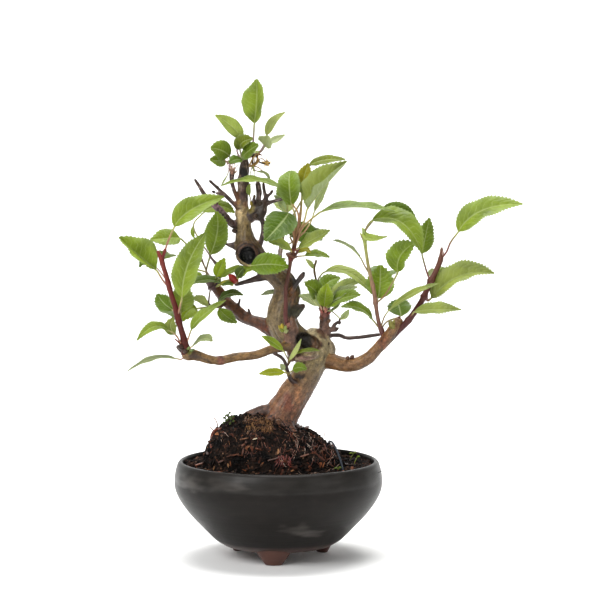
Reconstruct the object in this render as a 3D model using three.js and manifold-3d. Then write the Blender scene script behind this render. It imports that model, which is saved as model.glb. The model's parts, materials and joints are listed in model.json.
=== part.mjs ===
// An apple bonsai in spring leaf: a small old tree in a round dark stoneware pot on three feet.
// Millimetres, +Z up. The front of the tree looks along -Y.
//
// The tree is laid out as it is seen from the front, from the distance in EYE: a point [x, y, z] gives
// where it shows in the upright plane through the pot's axis, and y is how far it lies behind that plane.
// The function at() turns such a point into its true place.
import * as THREE from "three";
import { mergeVertices } from "three/addons/utils/BufferGeometryUtils.js";
import Module from "manifold-3d";

const wasm = await Module();
wasm.setup();

// Driving dimensions
const EYE = { x: 15.7, z: 282, away: 1400 };
const GAP = 0.3; // between pieces that touch
const SEED = 41;

// The pot's outside and inside, as [radius, height] from the underside and the floor up to the rim
const POT = {
  sides: 32,
  drainRadius: 6,
  outside: [
    [40, 9.5],
    [47, 14],
    [56.4, 23.4],
    [64.4, 32],
    [71, 41],
    [74.8, 49],
    [75.5, 56],
    [74.9, 62],
    [73, 68.4],
    [71.2, 70],
  ],
  inside: [
    [38, 15],
    [47, 19.5],
    [60, 34.5],
    [67.4, 44.5],
    [70.2, 56],
    [69.4, 68],
  ],
};
const FOOT = { at: 35, topRadius: 14, bottomRadius: 6.5, depth: 0.62, turn: -95, sides: 12, sunk: 3 };
const SCREEN = { size: 24, thick: 0.8, hole: 7, pitch: 9.6, count: 2 };
const SOIL = {
  level: 66, // of the soil along the rim
  moundX: -3, // centre of the root ball
  moundLeft: 54, // half its width to each side
  moundRight: 49,
  moundDeep: 46, // half its size from front to back
  top: 105.5, // of the mound, at crestX
  crestX: -15,
  fallLeft: 0.12, // how steeply the crest falls to each side
  fallRight: 0.39,
  fallDeep: 0.16,
  lump: 1.3,
  rings: 10,
};
// Bark chips, from their least size up by as much as "more", between two distances from the middle
const CHIP = { count: 16, long: 5, longMore: 6, wide: 2.5, wideMore: 2, thick: 2.2, lean: 0.8, up: 0.4 };
const CHIP_PLACE = { near: 14, spread: 48 };
const BARK = { sides: 10, branchSides: 7, twigSides: 4, lump: 0.06, leaderSeed: 7 };
const LEAF = { thick: 0.7, stalk: 1.6, base: 0.8, tooth: 0.06, wave: 0.5, step: 8.4 };
const STEM_SIDES = 5;
const WIRE = 1.6; // diameter of the tie wire
const WIRE_SIDES = 6;

const COLOUR = {
  pot: 0x2b2926,
  soil: 0x2f241c,
  bark: 0x6b5238,
  wire: 0x2a3038,
  screen: 0x1c1c1c,
  leaf: 0x7aa033,
};

// The wood: each limb is a list of [x, y, z, diameter]
const TRUNK = [
  [-4, 0, 66, 30],
  [-3, 0, 80, 29],
  [-1.5, 0, 92, 27.5],
  [2.5, 0, 103, 25],
  [8, 0, 112.5, 23.5],
  [13, 0, 120.5, 22],
  [18, 1, 128, 21],
  [22, 2, 136, 21.5],
  [24.5, 3, 145, 25],
  [25.5, 4, 153, 25],
  [25, 5, 160, 17],
];
const LEADER = [
  [24, 3, 150, 19],
  [16, 1, 155, 21],
  [8, 0, 161.5, 22],
  [3, 0, 169, 22.5],
  [2.5, 0, 177, 21.5],
  [4.7, 0, 185, 20.3],
  [6.5, 0, 192, 19.5],
  [4, 0, 199.5, 17.5],
  [-3, 0, 206, 15.5],
  [-10.5, 0.5, 212, 15.5],
  [-17, 1, 217.5, 18],
  [-21.5, 1, 223.5, 19],
  [-24, 1.5, 230.5, 15],
  [-24.8, 2, 237, 12.3],
  [-25.2, 2.5, 244, 10.5],
  [-25.5, 3, 252, 8.8],
  [-25.6, 4, 262, 7.8],
  [-25, 5, 275, 7],
  [-23.8, 5, 285, 6],
];
const KNOB = [
  [36.5, 3, 146.5, 9],
  [36, 4, 152, 11],
  [32, 5, 158, 9],
  [25, 4, 160.5, 8],
  [17, 2, 161.5, 8],
];
const LIP = [
  [12, -9, 143.5, 3.5],
  [17, -10.5, 144.8, 4.6],
  [24, -10.5, 145, 4.6],
  [30, -9, 146.2, 3.5],
];
const STUB = [
  [11, -2, 145, 8],
  [10.5, -7, 152, 10.5],
  [9.5, -9, 160, 11],
  [9.5, -9.5, 167, 9.5],
  [10, -9, 172.5, 6],
];
const BRANCHES = [
  // right
  [
    [27, 2, 147, 13],
    [35, 1, 143, 12],
    [42, 0, 141, 11],
    [50, -1, 139.5, 10.7],
    [58, -2, 140.3, 10],
    [65, -3, 144.3, 9.3],
    [70, -4, 149, 8.6],
    [75, -5, 154.5, 8.6],
    [80, -7, 160, 9.2],
    [84.5, -8, 166, 9.2],
    [87, -9, 171.5, 7],
  ],
  // left, upper
  [
    [2, 1, 161, 14],
    [-6, 3, 166, 11.5],
    [-13, 4, 169.5, 9.2],
    [-20, 6, 172, 8.6],
    [-26, 8, 175, 9],
    [-31, 9, 179.5, 9],
    [-36, 10, 184, 8.6],
    [-40, 12, 188.5, 8.4],
    [-43.6, 13, 194, 7.8],
  ],
  // left, lower
  [
    [9, -9, 154, 8],
    [3, -12.5, 152.2, 7],
    [-4, -14, 151, 6.6],
    [-14, -15.8, 147.4, 6.5],
    [-22, -17.5, 145.9, 6.4],
    [-30, -19, 145.3, 6.4],
    [-38, -20, 143.5, 6.5],
    [-42, -21, 142.6, 7.2],
    [-46, -22, 142.8, 6.6],
    [-52, -23, 144, 6.8],
    [-58, -24, 146, 7.4],
    [-63, -25, 147, 8.2],
    [-67, -25.5, 146.6, 7.4],
  ],
];
const TWIGS = [
  // stubs on the end of the lower left branch
  [
    [-66, -25, 148, 5],
    [-70, -22.5, 150.6, 4.6],
    [-72.5, -20.5, 152.5, 3.6],
  ],
  // short dead ends on the upper left branch
  [
    [-28.5, 8, 177, 2.6],
    [-28.8, 7.5, 182, 2],
    [-27.6, 7, 187.5, 1.6],
  ],
  [
    [-20.3, 6, 174, 2.4],
    [-20.7, 5.5, 177.5, 2],
    [-21.7, 5, 180, 1.8],
  ],
  // dark broken stub right of the leader
  [
    [6, -3, 174, 9],
    [11, -5.5, 177, 9.5],
    [15, -5, 180, 7],
    [18, -4, 182, 4],
  ],
  // cut twig over the right shoulder of the leader
  [
    [6, -6, 189, 5],
    [8.5, -10, 191.5, 3.6],
    [12, -12, 197, 3],
    [17.8, -13, 205, 3],
  ],
  // dead twig to the left under the large scar
  [
    [-8, -1, 204, 7],
    [-15, -2, 202.3, 5],
    [-20, -3, 200.7, 3.8],
    [-27, -4, 198.7, 3.2],
    [-31, -4.5, 197.6, 2.4],
  ],
  // small side twig left of the scar
  [
    [-27, 0, 224.5, 5],
    [-32, -0.5, 225.5, 3.4],
    [-36, -1, 226.3, 2.4],
    [-41, 5, 228.3, 1.8],
  ],
  // knobbly twig up to the left, with a spur
  [
    [-26, 2, 240, 6],
    [-31, 2, 240.5, 5.5],
    [-35, 2, 243, 4.6],
    [-38.5, 1.5, 248, 3.8],
    [-42, 1, 251.5, 3.8],
    [-46, 0.5, 255, 4.2],
    [-53, -0.5, 262.5, 2.6],
    [-59, -1, 272, 2.1],
  ],
  [
    [-27, 3, 251, 4.4],
    [-31, 3, 255, 3.2],
    [-40, 1.5, 264, 2.6],
    [-48.5, 0.5, 271.7, 2.2],
  ],
  [
    [-39, 1.6, 263, 2.2],
    [-42, 0, 263, 2.4],
    [-44.5, -1, 263.8, 2],
  ],
  [
    [-26.5, 2, 252, 4.6],
    [-29.6, 1, 260, 3.2],
    [-32, 0, 267, 3],
    [-33.5, -0.5, 273, 3.2],
    [-33, -0.5, 279, 4],
  ],
  // gnarled knot right of the top
  [
    [-24, 2, 244, 9],
    [-19, 1, 248, 8.5],
    [-15, 0, 252, 7.5],
    [-11.5, -0.5, 255.5, 4.6],
    [-9, -1, 259.5, 2.6],
    [-9.8, -1, 264, 2],
    [-10.5, -1, 269, 1.8],
  ],
  [
    [-15, 1, 251, 5],
    [-14.5, 2, 258, 3.6],
    [-13.8, 2.5, 264, 3.4],
    [-14.6, 3, 270.5, 3.4],
  ],
  [
    [-18, 0, 249, 4.4],
    [-18.2, -1, 254, 3.2],
    [-17.3, -1.5, 260.5, 2.3],
  ],
  [
    [-11.5, -0.5, 254.5, 3],
    [-5, -2, 257.3, 2.4],
    [4.5, -4, 260, 2],
  ],
  [
    [-10, -1, 257, 2.4],
    [-7.5, -2, 261.5, 2.2],
    [-5, -3, 264, 2.2],
  ],
  [
    [-14, 0, 249, 4],
    [-11.3, -1, 243, 2.9],
    [-10.6, -1.5, 237, 2.7],
    [-12.2, -1.5, 230, 2.7],
    [-14, -1, 224, 3],
  ],
  // twig in front of the lower trunk
  [
    [15, -6, 124, 4],
    [11.5, -11, 127, 3],
    [8.5, -13, 130, 2.3],
    [6, -15, 137, 2.3],
    [4, -16, 142, 2.2],
    [-2.5, -17, 147, 2],
  ],
  // thin twig behind the right branch
  [
    [32, 8, 158, 6],
    [37, 11, 160.5, 3.2],
    [44, 12, 161.2, 2.6],
    [50, 11, 158.8, 2.4],
    [62, 9, 160, 2.3],
    [73.5, 6, 161.5, 2],
  ],
  // spur on top of the knob, which holds the middle leaves
  [
    [32, 7, 156, 9],
    [33, 8, 163, 7.4],
    [33.4, 8, 170, 7],
    [33.5, 8, 176.5, 7.2],
  ],
];
const ROOTS = [
  [
    [-3, -2, 101, 15],
    [-11, -5, 104.2, 9],
    [-20, -8, 102.6, 6.6],
    [-28, -11, 99.6, 5.2],
    [-35, -14, 96.2, 4.2],
    [-41, -17, 90, 3.2],
  ],
  [
    [2, -4, 98, 16],
    [9, -12, 92.5, 9.5],
    [15, -19, 86, 6.5],
    [19, -25, 79, 4.6],
  ],
  [
    [-3, 3, 97, 17],
    [-6, 13, 97, 9],
    [-10, 22, 94.5, 6],
    [-15, 31, 88, 4],
  ],
  [
    [2, 2, 96, 16],
    [13, 6, 92, 8],
    [23, 10, 87.5, 5],
    [31, 13, 81, 3.6],
  ],
];
const HOLLOW = { at: [20.5, -12, 153], size: [12, 12.5, 8.6], tilt: 12 };
const SCAR = { at: [-22, -9.5, 219.6], size: [6, 5, 6.6], rim: 7.6, rimThick: 2.6 };
const TIE_WIRE = [
  [30, -26, 74, WIRE],
  [34, -27.5, 84.5, WIRE],
  [38, -28.5, 85.2, WIRE],
  [41.5, -31, 79.5, WIRE],
  [44.5, -34, 71.5, WIRE],
  [47, -37, 63, WIRE],
  [48, -38, 58, WIRE],
];

// The leafy pieces. Each stem is a list of [x, y, z, diameter], and the first one stands in the wood.
// Each leaf is [stalk points, rib points at base, middle and tip, width, tilt, turn, fold, twist]: tilt
// leans its upper side from straight up towards the front, turn swings that to the right, fold lifts
// its two halves and twist turns the blade about its rib between base and tip.
const SHOOTS = [
  {
    name: "shoot_front",
    stems: [
      [
        [8.2, -10.5, 163, 3.4],
        [6.2, -14, 169, 3.3],
        [5.2, -15, 175, 3.2],
        [5.5, -14.5, 185, 3.1],
        [5.5, -14, 195, 3],
        [7, -14, 203, 2.9],
        [8.3, -14, 211, 2.8],
        [9.2, -14, 217, 3.4],
        [11, -14.5, 223, 3.2],
        [13.5, -15, 231, 3],
        [15, -15, 237, 2.4],
      ],
      [
        [10.8, -14.5, 217, 1.8],
        [12.8, -15.5, 220, 1.8],
        [15.5, -16.5, 224, 1],
      ],
    ],
    leaves: [
      [[[14.5, -15, 236], [18.5, -16, 243]], [[21.8, -17, 253], [33, -20, 268], [49.8, -22, 286.5]],
        29, 78, -32, 36, 0],
      [[[14, -14, 232], [19, -9, 234], [23.5, -3, 243]], [[27, 1, 251], [36, 5, 265], [44, 8, 276]],
        13, -40, 10, 10, 0],
      [[[14.5, -14.5, 236], [16, -8, 252], [18, -3, 268]], [[22, 2, 281], [33, 2, 284.5], [48, -2, 287]],
        12, 42, 0, 10, 0],
      [[[14.5, -15, 236], [15.5, -13, 246]], [[11, -11, 256], [9.3, -9, 268], [6.5, -7, 280]],
        17, 82, -14, 16, 0],
      [[[15, -15, 236], [16.6, -9, 250]], [[17, -7, 263], [18.3, -6, 274], [21.8, -6, 285.3]],
        11, 75, 15, 12, 0],
      [[[11.5, -14.5, 224], [11, -15, 233]], [[8.6, -17, 241], [0, -27, 242], [-9, -36, 231]],
        23, 56, -12, 12, 0],
      [[[11.5, -14.5, 224], [11, -10, 238]], [[6, -6, 250], [2, 0, 256], [-3, 6, 262]],
        9, -50, 0, 10, 0],
      [[[9.5, -14, 218]], [[9.6, -17, 223], [1, -24, 227], [-7, -30, 228.5]], 12, 46, 0, 15, 0],
      [[[10.5, -14.5, 221]], [[14.5, -18, 224.5], [26, -24, 230.5], [37.5, -28, 237]],
        15, 46, 10, 20, 0],
      [[[10, -14, 219]], [[14, -14, 220], [19, -13, 223], [23.5, -12, 220.5]], 6, 40, 0, 15, 0],
      [[[9.6, -14, 216.5], [13, -11, 218]], [[19, -9, 218.5], [28, -7, 219.5], [37.2, -6, 217.3]],
        11, 32, 0, 15, 0],
      [[[12, -14.5, 225]], [[12.5, -10, 229], [20, -3, 234.5], [28, 3, 236.5]], 13, 58, 0, 12, 0],
      [[[15, -15, 237], [21, -16, 242.5]], [[31, -17, 250.7], [55, -20, 254.6], [82, -22, 250.5]],
        22, 15, 0, 14, 0],
      [[[12, -14.5, 226], [14.6, -14, 247], [10.2, -13, 256]],
        [[5, -12, 266], [-18, -13, 273], [-42, -10, 268.5]],
        14, 15, 0, 10, 0],
    ],
  },
  {
    name: "shoot_right_inner",
    stems: [
      [
        [76, -5, 157.5, 3.4],
        [75, -6, 163.5, 3.3],
        [73, -7, 169, 3.1],
        [71.5, -7.5, 176, 3],
        [70.5, -8, 183, 3],
        [69.5, -8, 190, 3.2],
        [68, -8, 198, 2.8],
        [66, -8, 206, 2.7],
        [64.5, -8, 214, 2.5],
        [63.3, -8, 222, 2.4],
        [62.3, -8, 230, 2.4],
        [60.9, -8, 238.5, 1.4],
      ],
      [
        [62.6, -8, 229, 2],
        [60.4, -7, 232.5, 1.8],
        [59.2, -6, 235, 1],
      ],
    ],
    leaves: [
      [[[62.5, -8, 230], [62.8, -9, 236], [64.5, -10, 240.5]],
        [[67.5, -12, 244.3], [89, -20, 242], [103.6, -22, 220]],
        22, 46, 25, 22, 0],
      [[[63.3, -8, 226]], [[64.4, -9, 229], [70, -12, 232.5], [78, -14, 232]], 7, 48, 0, 25, 0],
      [[[64.6, -8, 207.5], [62, -9, 212]], [[59.2, -10, 217.8], [50.5, -15, 225.6], [38.8, -20, 229.8]],
        12, 24, -30, 14, 0],
      [[[70.2, -8, 186], [73, -10, 198]], [[77.4, -12, 207], [86.5, -16, 217.5], [98.4, -20, 227.4]],
        28, 52, -14, 40, -20],
      [[[70.4, -8, 185]], [[72, -4, 187.5], [73.6, 0, 199], [73.5, 3, 212]], 20, 84, 0, 10, 0],
      [[[75, -6, 163.5]], [[68.3, -9, 172.3], [58.5, -15, 180.5], [45.3, -19, 181.4]],
        13, 34, -20, 12, 0],
      [[[74.4, -7, 167], [76.6, -13, 174]], [[80.5, -16, 180], [97, -22, 191], [116, -26, 198.6]],
        11, 32, 0, 12, 0],
      [[[74, -6.5, 165], [79, 4, 171]], [[89, 8, 174.5], [87.5, 14, 181], [86, 22, 187]],
        17, 55, 0, 12, 0],
      [[[64, -8, 219], [67, 2, 236]], [[70, 8, 246], [77, 14, 252], [84, 18, 254]], 12, 40, 0, 12, 0],
      [[[68.3, -8, 197], [70, 4, 199]], [[72, 12, 201], [76, 30, 206.5], [83, 48, 205]],
        21, 16, 10, 15, 0],
    ],
  },
  {
    name: "shoot_right_end",
    stems: [
      [
        [83.5, -8, 161, 4.8],
        [87.5, -9.5, 165, 4.8],
        [92, -11, 169.3, 4.8],
        [98, -12, 176.8, 4.6],
        [104.6, -12.5, 187.3, 4.3],
        [107, -12.5, 193, 4.2],
        [110.7, -12, 201, 4],
        [113.2, -12, 206, 3.9],
        [117, -12, 215, 3.8],
        [117.8, -12, 222, 2.2],
      ],
    ],
    leaves: [
      [[[117.3, -12, 216], [121.5, -13, 221.5], [124.5, -13, 228.5]],
        [[129.3, -14, 235.4], [151, -18, 244.3], [176.4, -22, 255.8]],
        30, 48, -14, 42, -26],
      [[[105.3, -12.5, 189], [108, -10, 186]], [[110.5, -9, 187.5], [131, -16, 201], [156, -24, 205.6]],
        26, 46, -10, 42, -16],
      [[[105.5, -12.5, 189], [108.5, -6, 187]], [[110.8, -2, 188], [116, 3, 199], [119.5, 8, 210.5]],
        11, 78, 0, 12, 0],
      [[[94, -11.5, 172]], [[99, -16, 176.5], [115, -24, 180.3], [133.4, -30, 178]],
        22, 42, -16, 30, -26],
      [[[110, -12, 199.5], [107.2, -8, 207]], [[103.6, -5, 219.8], [106, 0, 232], [109, 4, 246]],
        14, 80, 18, 12, 0],
      [[[111, -12, 201.5]], [[110, -8, 203], [110.5, -4, 206], [111.5, -2, 209.5]], 5, 70, 0, 12, 0],
      [[[110.5, -12, 200.5], [114, -3, 200]], [[118, 6, 200.5], [126, 24, 206], [137, 42, 205]],
        20, 12, 10, 14, 0],
    ],
  },
  {
    name: "shoot_left_end",
    stems: [
      [
        [-66.5, -25.3, 146.5, 5.6],
        [-67.6, -26, 153, 5.6],
        [-68.6, -26.5, 159, 4.9],
        [-70.3, -27, 165, 4.4],
        [-72.6, -27.5, 173.5, 4.2],
        [-74.6, -28, 182, 3.9],
        [-77.8, -28.5, 192, 3.7],
        [-80.8, -29, 203.7, 3.5],
        [-82.6, -29, 209.5, 3.4],
        [-84.6, -29, 216, 3.2],
        [-86.8, -29, 221.5, 2.4],
      ],
      [
        [-83.2, -29, 211, 2.8],
        [-83.4, -29, 216.5, 2.6],
        [-81.6, -29, 223, 2],
      ],
      [
        [-67, -25.6, 149, 4],
        [-71, -28, 153, 3.2],
        [-74.5, -29.5, 158, 2],
      ],
    ],
    leaves: [
      [[[-78.6, -28.6, 195], [-83.5, -27, 201]],
        [[-88, -25, 208.5], [-100.5, -22, 218], [-115.2, -20, 232]],
        32, 54, 16, 38, 24],
      [[[-81.8, -29, 222], [-79.5, -29, 229]], [[-75, -29, 239.3], [-57, -25, 249.3], [-38.8, -16, 261]],
        28, 50, -16, 40, -26],
      [[[-72.8, -27.6, 174.5], [-71.3, -31, 181]],
        [[-69.5, -33, 188], [-66.5, -34, 211.5], [-52, -30, 234]],
        24, 80, -14, 14, 0],
      [[[-73.6, -27.8, 178]], [[-76, -24, 178.8], [-82.5, -20, 182.8], [-87.4, -17, 190]],
        10, 66, 0, 12, 0],
      [[[-83.6, -29, 213]], [[-83, -22, 216], [-80, -14, 219.5], [-77, -6, 219]], 10, 52, 0, 10, 0],
      [[[-72, -27.4, 171]], [[-70.5, -23, 177], [-69.5, -20, 187], [-67, -18, 198.5]],
        18, 82, 0, 16, 0],
      [[[-67.5, -26, 152.5], [-65.2, -28, 158.5]],
        [[-63.2, -29, 164.8], [-54, -27, 175.5], [-37.6, -16, 186.5]],
        12, 52, -40, 16, 0],
      [[[-70.5, -28, 153], [-73, -31, 159]], [[-75.6, -33, 163], [-89, -39, 168.6], [-102.4, -43, 157]],
        15, 36, 20, 16, 0],
      [[[-74.2, -29.5, 158]], [[-75.3, -28, 162.5], [-78.4, -27, 168], [-76.4, -27, 175]],
        8, 80, 10, 12, 0],
      [[[-66.8, -25.6, 148.5]], [[-62.2, -30, 153.3], [-54, -36, 158.3], [-48, -40, 156.4]],
        10, 32, 0, 14, 0],
      [[[-66.8, -25.3, 147.5], [-70, -28, 143.6]],
        [[-74.5, -30, 144.2], [-91, -34, 143.8], [-109.3, -37, 134.8]],
        13, 13, 0, 10, 0],
      [[[-68.2, -26.4, 157], [-70, -10, 168]], [[-72, -2, 173], [-76, 14, 180], [-84, 30, 180]],
        20, 24, -20, 12, 0],
    ],
  },
  {
    name: "spur_left_upper",
    stems: [
      [
        [-43.2, 12.5, 190, 4.6],
        [-46.4, 12, 195.5, 4.6],
        [-49, 12, 199.5, 4],
        [-50, 12, 203, 2.4],
      ],
    ],
    leaves: [
      [[[-49.5, 12, 201], [-52, 11, 207]], [[-50, 8, 219.3], [-48, 1, 235], [-45, -3, 250.5]],
        23, 78, -8, 16, 0],
      [[[-48.4, 12, 198.5]], [[-50, 8, 197.8], [-58, 1, 199], [-65.8, -5, 196.8]], 13, 30, 0, 14, 0],
      [[[-49, 12, 199.5]], [[-53, 14, 200.5], [-57, 17, 203], [-60, 20, 206]], 8, 55, 0, 12, 0],
      [[[-47.5, 12, 197.5], [-46, 8, 201]], [[-44.6, 6, 203], [-42, 4, 209.5], [-38.6, 2, 217]],
        9, 78, 0, 14, 0],
      [[[-47, 12, 197], [-45, 6, 199.5]], [[-42.5, 4, 202.5], [-36, -2, 207.6], [-29.6, -6, 211.4]],
        9, 40, 0, 12, 0],
      [[[-46.5, 12, 196]], [[-44.5, 8, 196.2], [-39, 2, 198.6], [-32.6, -2, 196.8]], 9, 28, 0, 14, 0],
      [[[-49.5, 12, 201], [-56, 5, 216]], [[-70.8, -7, 232.2], [-80, -12, 235], [-92.4, -16, 230]],
        12, 40, 0, 14, 0],
      [[[-47, 12, 197], [-43, 13, 210.5], [-49.5, 14, 219], [-60, 12, 239]],
        [[-54, 12, 249.8], [-49.5, 15, 252], [-45, 18, 251]],
        6, 40, 0, 10, 0],
      [[[-49.5, 12, 201], [-57, 13, 222]], [[-60.2, 14, 231], [-61.8, 13, 235.5], [-61, 12, 240.5]],
        3, 80, -20, 8, 0],
      [[[-48.5, 12, 199], [-51, 24, 206]], [[-55, 32, 211], [-60, 46, 217], [-66, 60, 216]],
        21, 26, -20, 14, 0],
    ],
  },
  {
    name: "spur_left_under",
    stems: [
      [
        [-37.6, 9, 184.5, 3.6],
        [-43, 4.5, 182.5, 3.4],
        [-48.4, 3, 181.8, 2.4],
      ],
      [
        [-48, 3, 182, 1.5],
        [-50.2, 3, 184, 1.4],
        [-49.8, 4, 190, 1.2],
        [-49.2, 5, 193.5, 1],
      ],
    ],
    leaves: [
      [[[-47.5, 3, 182]], [[-50.5, 2, 182.2], [-56.5, -1, 185.7], [-62.3, -3, 187.8]], 9, 46, 0, 30, 0],
      [[[-48, 3, 181.9], [-54, 1, 181]], [[-58.8, -1, 180.4], [-65, -7, 178.4], [-70, -12, 171]],
        15, 58, 0, 14, 0],
      [[[-42, 5.5, 182.8]], [[-43, 2, 180.6], [-37.5, -3, 174.5], [-29.8, -7, 170]], 10, 52, 0, 12, 0],
      [[[-43, 4.5, 182.5]], [[-44, 0, 185], [-35.5, -5, 190.8], [-25.4, -8, 190]], 9, 36, 0, 12, 0],
    ],
  },
  {
    name: "bud_spur",
    stems: [
      [
        [-29, -4.2, 198.2, 1.6],
        [-30.4, -5.5, 199.8, 3],
        [-32.2, -7, 201.6, 5],
        [-33.6, -8, 203, 5.2],
        [-35.2, -9, 204.6, 2.2],
      ],
    ],
    leaves: [
      [[[-31, -6, 200.5]], [[-29.6, -9, 202.8], [-27.6, -12, 206.5], [-24.8, -15, 209.6]],
        8, 62, 0, 12, 0],
      [[[-31, -6, 200.5]], [[-28, -10, 202.4], [-23.5, -14, 206], [-18.6, -17, 206]], 7, 48, 0, 14, 0],
      [[[-31, -6, 200]], [[-32, -8, 198], [-36, -11, 198.4], [-40.5, -13, 196.8]], 5, 30, 0, 12, 0],
    ],
  },
  {
    name: "leaf_trunk_left",
    stems: [
      [
        [-27.6, -4, 220.5, 2],
        [-29.8, -9, 218.6, 1.8],
        [-27, -14, 214.4, 1.8],
        [-22.5, -16, 211.6, 1.8],
      ],
    ],
    leaves: [
      [[[-24, -15.5, 212.4]], [[-20.3, -17, 211], [-6, -20.5, 212.3], [7.3, -22, 210.3]],
        17, 62, 0, 10, 0],
    ],
  },
  {
    name: "spur_middle",
    stems: [
      [
        [33.4, 8, 171.5, 4.4],
        [33.6, 8, 178.5, 4.4],
        [32.8, 7.5, 183.5, 3.6],
        [31.6, 7, 188, 2.2],
      ],
      [
        [31.4, 7.2, 186, 1.8],
        [28.4, 8, 197, 1.6],
        [26, 8, 208, 1.6],
        [27.4, 7, 215, 1.8],
      ],
    ],
    leaves: [
      [[[32.4, 7.4, 184.5]], [[29.6, 3, 188.5], [25, -4, 194.5], [19, -10, 198]], 14, 62, -10, 16, 0],
      [[[33, 7.8, 181]], [[30, 4, 181.5], [23, -1, 187.3], [15, -5, 189.8]], 11, -36, 0, 10, 0],
      [[[32, 7.2, 186]], [[34, 12, 190], [37.5, 18, 198], [44.6, 24, 202.5]], 13, 58, 0, 12, 0],
      [[[33, 7.6, 182.5], [35, 9, 186]], [[37.5, 10, 189.8], [49, 10, 197], [61, 8, 200.2]],
        11, 38, 0, 14, 0],
      [[[33.4, 7.8, 180.5]], [[36, 4, 184], [46, -2, 191.7], [57.2, -6, 195.8]], 11, 40, 0, 14, 0],
      [[[33.6, 8, 179.5]], [[35.4, 1, 181.5], [47, -8, 187.6], [59.6, -15, 190]], 15, 42, 0, 16, 0],
      [[[33.6, 8, 178.5]], [[37, 0, 178.8], [41.5, -6, 180.5], [45, -12, 184.3]], 7, 45, 0, 14, 0],
      [[[33, 7.6, 182]], [[32, 2, 182.5], [31, -4, 189], [29.6, -9, 195.8]], 10, 84, 0, 18, 0],
      [[[32, 7.2, 186], [29.3, 9, 199], [31.8, 10, 205.5]],
        [[36, 10, 208.3], [53, 8, 203.8], [68, 2, 191]],
        13, 34, 20, 14, 0],
      [[[26.4, 8, 206.5]], [[26, 7.6, 208.8], [23.2, 6, 212.8], [19.6, 5, 216]], 4, 50, 0, 10, 0],
      [[[33.6, 8, 178], [38.5, 5, 178.3], [43.5, 3, 174.2]],
        [[45, 2, 172.2], [48.2, -1, 175], [51, -4, 179.8]],
        7, -50, 0, 10, 0],
      [[[33, 7.8, 181], [31, 18, 188]], [[30, 26, 193], [28, 42, 199], [24, 58, 197]],
        20, 22, -10, 14, 0],
    ],
  },
  {
    name: "spur_apex",
    stems: [
      [
        [-24, 5, 279, 3.4],
        [-23.6, 5, 287, 3.4],
        [-22, 4.5, 290, 3],
        [-18.6, 5, 291.5, 2.4],
        [-14.6, 5.5, 291.5, 1.6],
      ],
      [
        [-23, 5, 286.5, 3],
        [-27.5, 4, 287.5, 2.6],
        [-31.5, 3, 286, 2.4],
        [-35.5, 2, 285.5, 2],
      ],
      [
        [-15.6, 5.4, 291.5, 1.6],
        [-14.4, 3, 287, 1.4],
        [-12, 1, 285.4, 1.4],
        [-9.6, 0, 285.3, 2.6],
        [-7.6, -0.5, 285.2, 4.6],
        [-6.2, -0.6, 285.2, 1.8],
      ],
      [
        [-18, 5, 291.3, 1.8],
        [-18.4, 2, 285, 1.6],
        [-17.4, 0, 279.8, 1.4],
      ],
    ],
    leaves: [
      [[[-20, 4.7, 291], [-18, 5, 300]], [[-17.2, 4, 313.6], [-15, 2, 330], [-15.5, 6, 345.5]],
        19, 86, -20, 24, 0],
      [[[-27, 4, 287.4], [-29.6, 4, 295]], [[-27.5, 3, 301.5], [-35, -1, 313], [-45.3, -5, 319.6]],
        13, 62, -10, 18, 0],
      [[[-14.8, 5.4, 291.5], [-11, 7, 297]], [[-9.3, 8, 304], [-5.3, 4, 314.6], [5.3, 0, 321.8]],
        11, 46, -20, 22, 0],
      [[[-15.2, 5.5, 291.5], [-11.8, 4, 294]], [[-9.8, 3, 297], [-8.6, -3, 302], [-8, -8, 305.6]],
        14, 66, 0, 22, 0],
      [[[-14.8, 5.5, 291.5], [-11, 9, 295.5]], [[-8, 11, 298.5], [-2, 15, 302], [5, 18, 305.6]],
        6, 48, 0, 12, 0],
      [[[-25.5, 4.4, 287]], [[-27.6, 1, 294.8], [-24, -5, 301.5], [-18, -10, 303.3]],
        13, 62, 10, 12, 0],
      [[[-24.5, 4.6, 286.8]], [[-26.5, -2, 289], [-20.5, -8, 294.3], [-14, -12, 298.3]],
        13, 56, 0, 12, 0],
      [[[-34, 2.4, 285.6]], [[-36.6, -1, 289], [-41, -6, 295], [-45.3, -11, 299]], 18, 62, -10, 14, 0],
      [[[-35, 2.1, 285.5]], [[-38.5, 0, 286], [-43, -5, 287], [-48.6, -9, 287.2]], 12, 52, 0, 12, 0],
      [[[-25.5, 4.3, 287]], [[-26, -3.5, 287.6], [-30.5, -8, 287.6], [-35.2, -11, 285.2]],
        8, 46, 0, 12, 0],
      [[[-17.6, 0.6, 280.6]], [[-15.6, -1, 279.3], [-9, -4, 277.6], [-6.2, -6, 272]], 5, 20, 0, 20, 0],
      [[[-34.8, -1, 285.6], [-35.6, -4, 280]], [[-36.6, -2, 276.4], [-39, -5, 272.6], [-41.2, -8, 268.6]],
        2.6, 60, 0, 10, 0],
      [[[-24, 5, 287], [-25, 12, 292]], [[-27, 18, 297], [-31, 30, 303], [-38, 42, 303]],
        19, 24, -20, 14, 0],
      [[[-21, 4.6, 290.6], [-18, 12, 296]], [[-14, 18, 301], [-8, 30, 307], [0, 42, 308]],
        19, 24, 20, 14, 0],
    ],
  },
  {
    name: "sprouts_low",
    stems: [
      [
        [7.2, -15.2, 139.5, 1.6],
        [7.6, -16.8, 141, 1.8],
        [8.4, -18, 143.5, 1.8],
      ],
    ],
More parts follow.
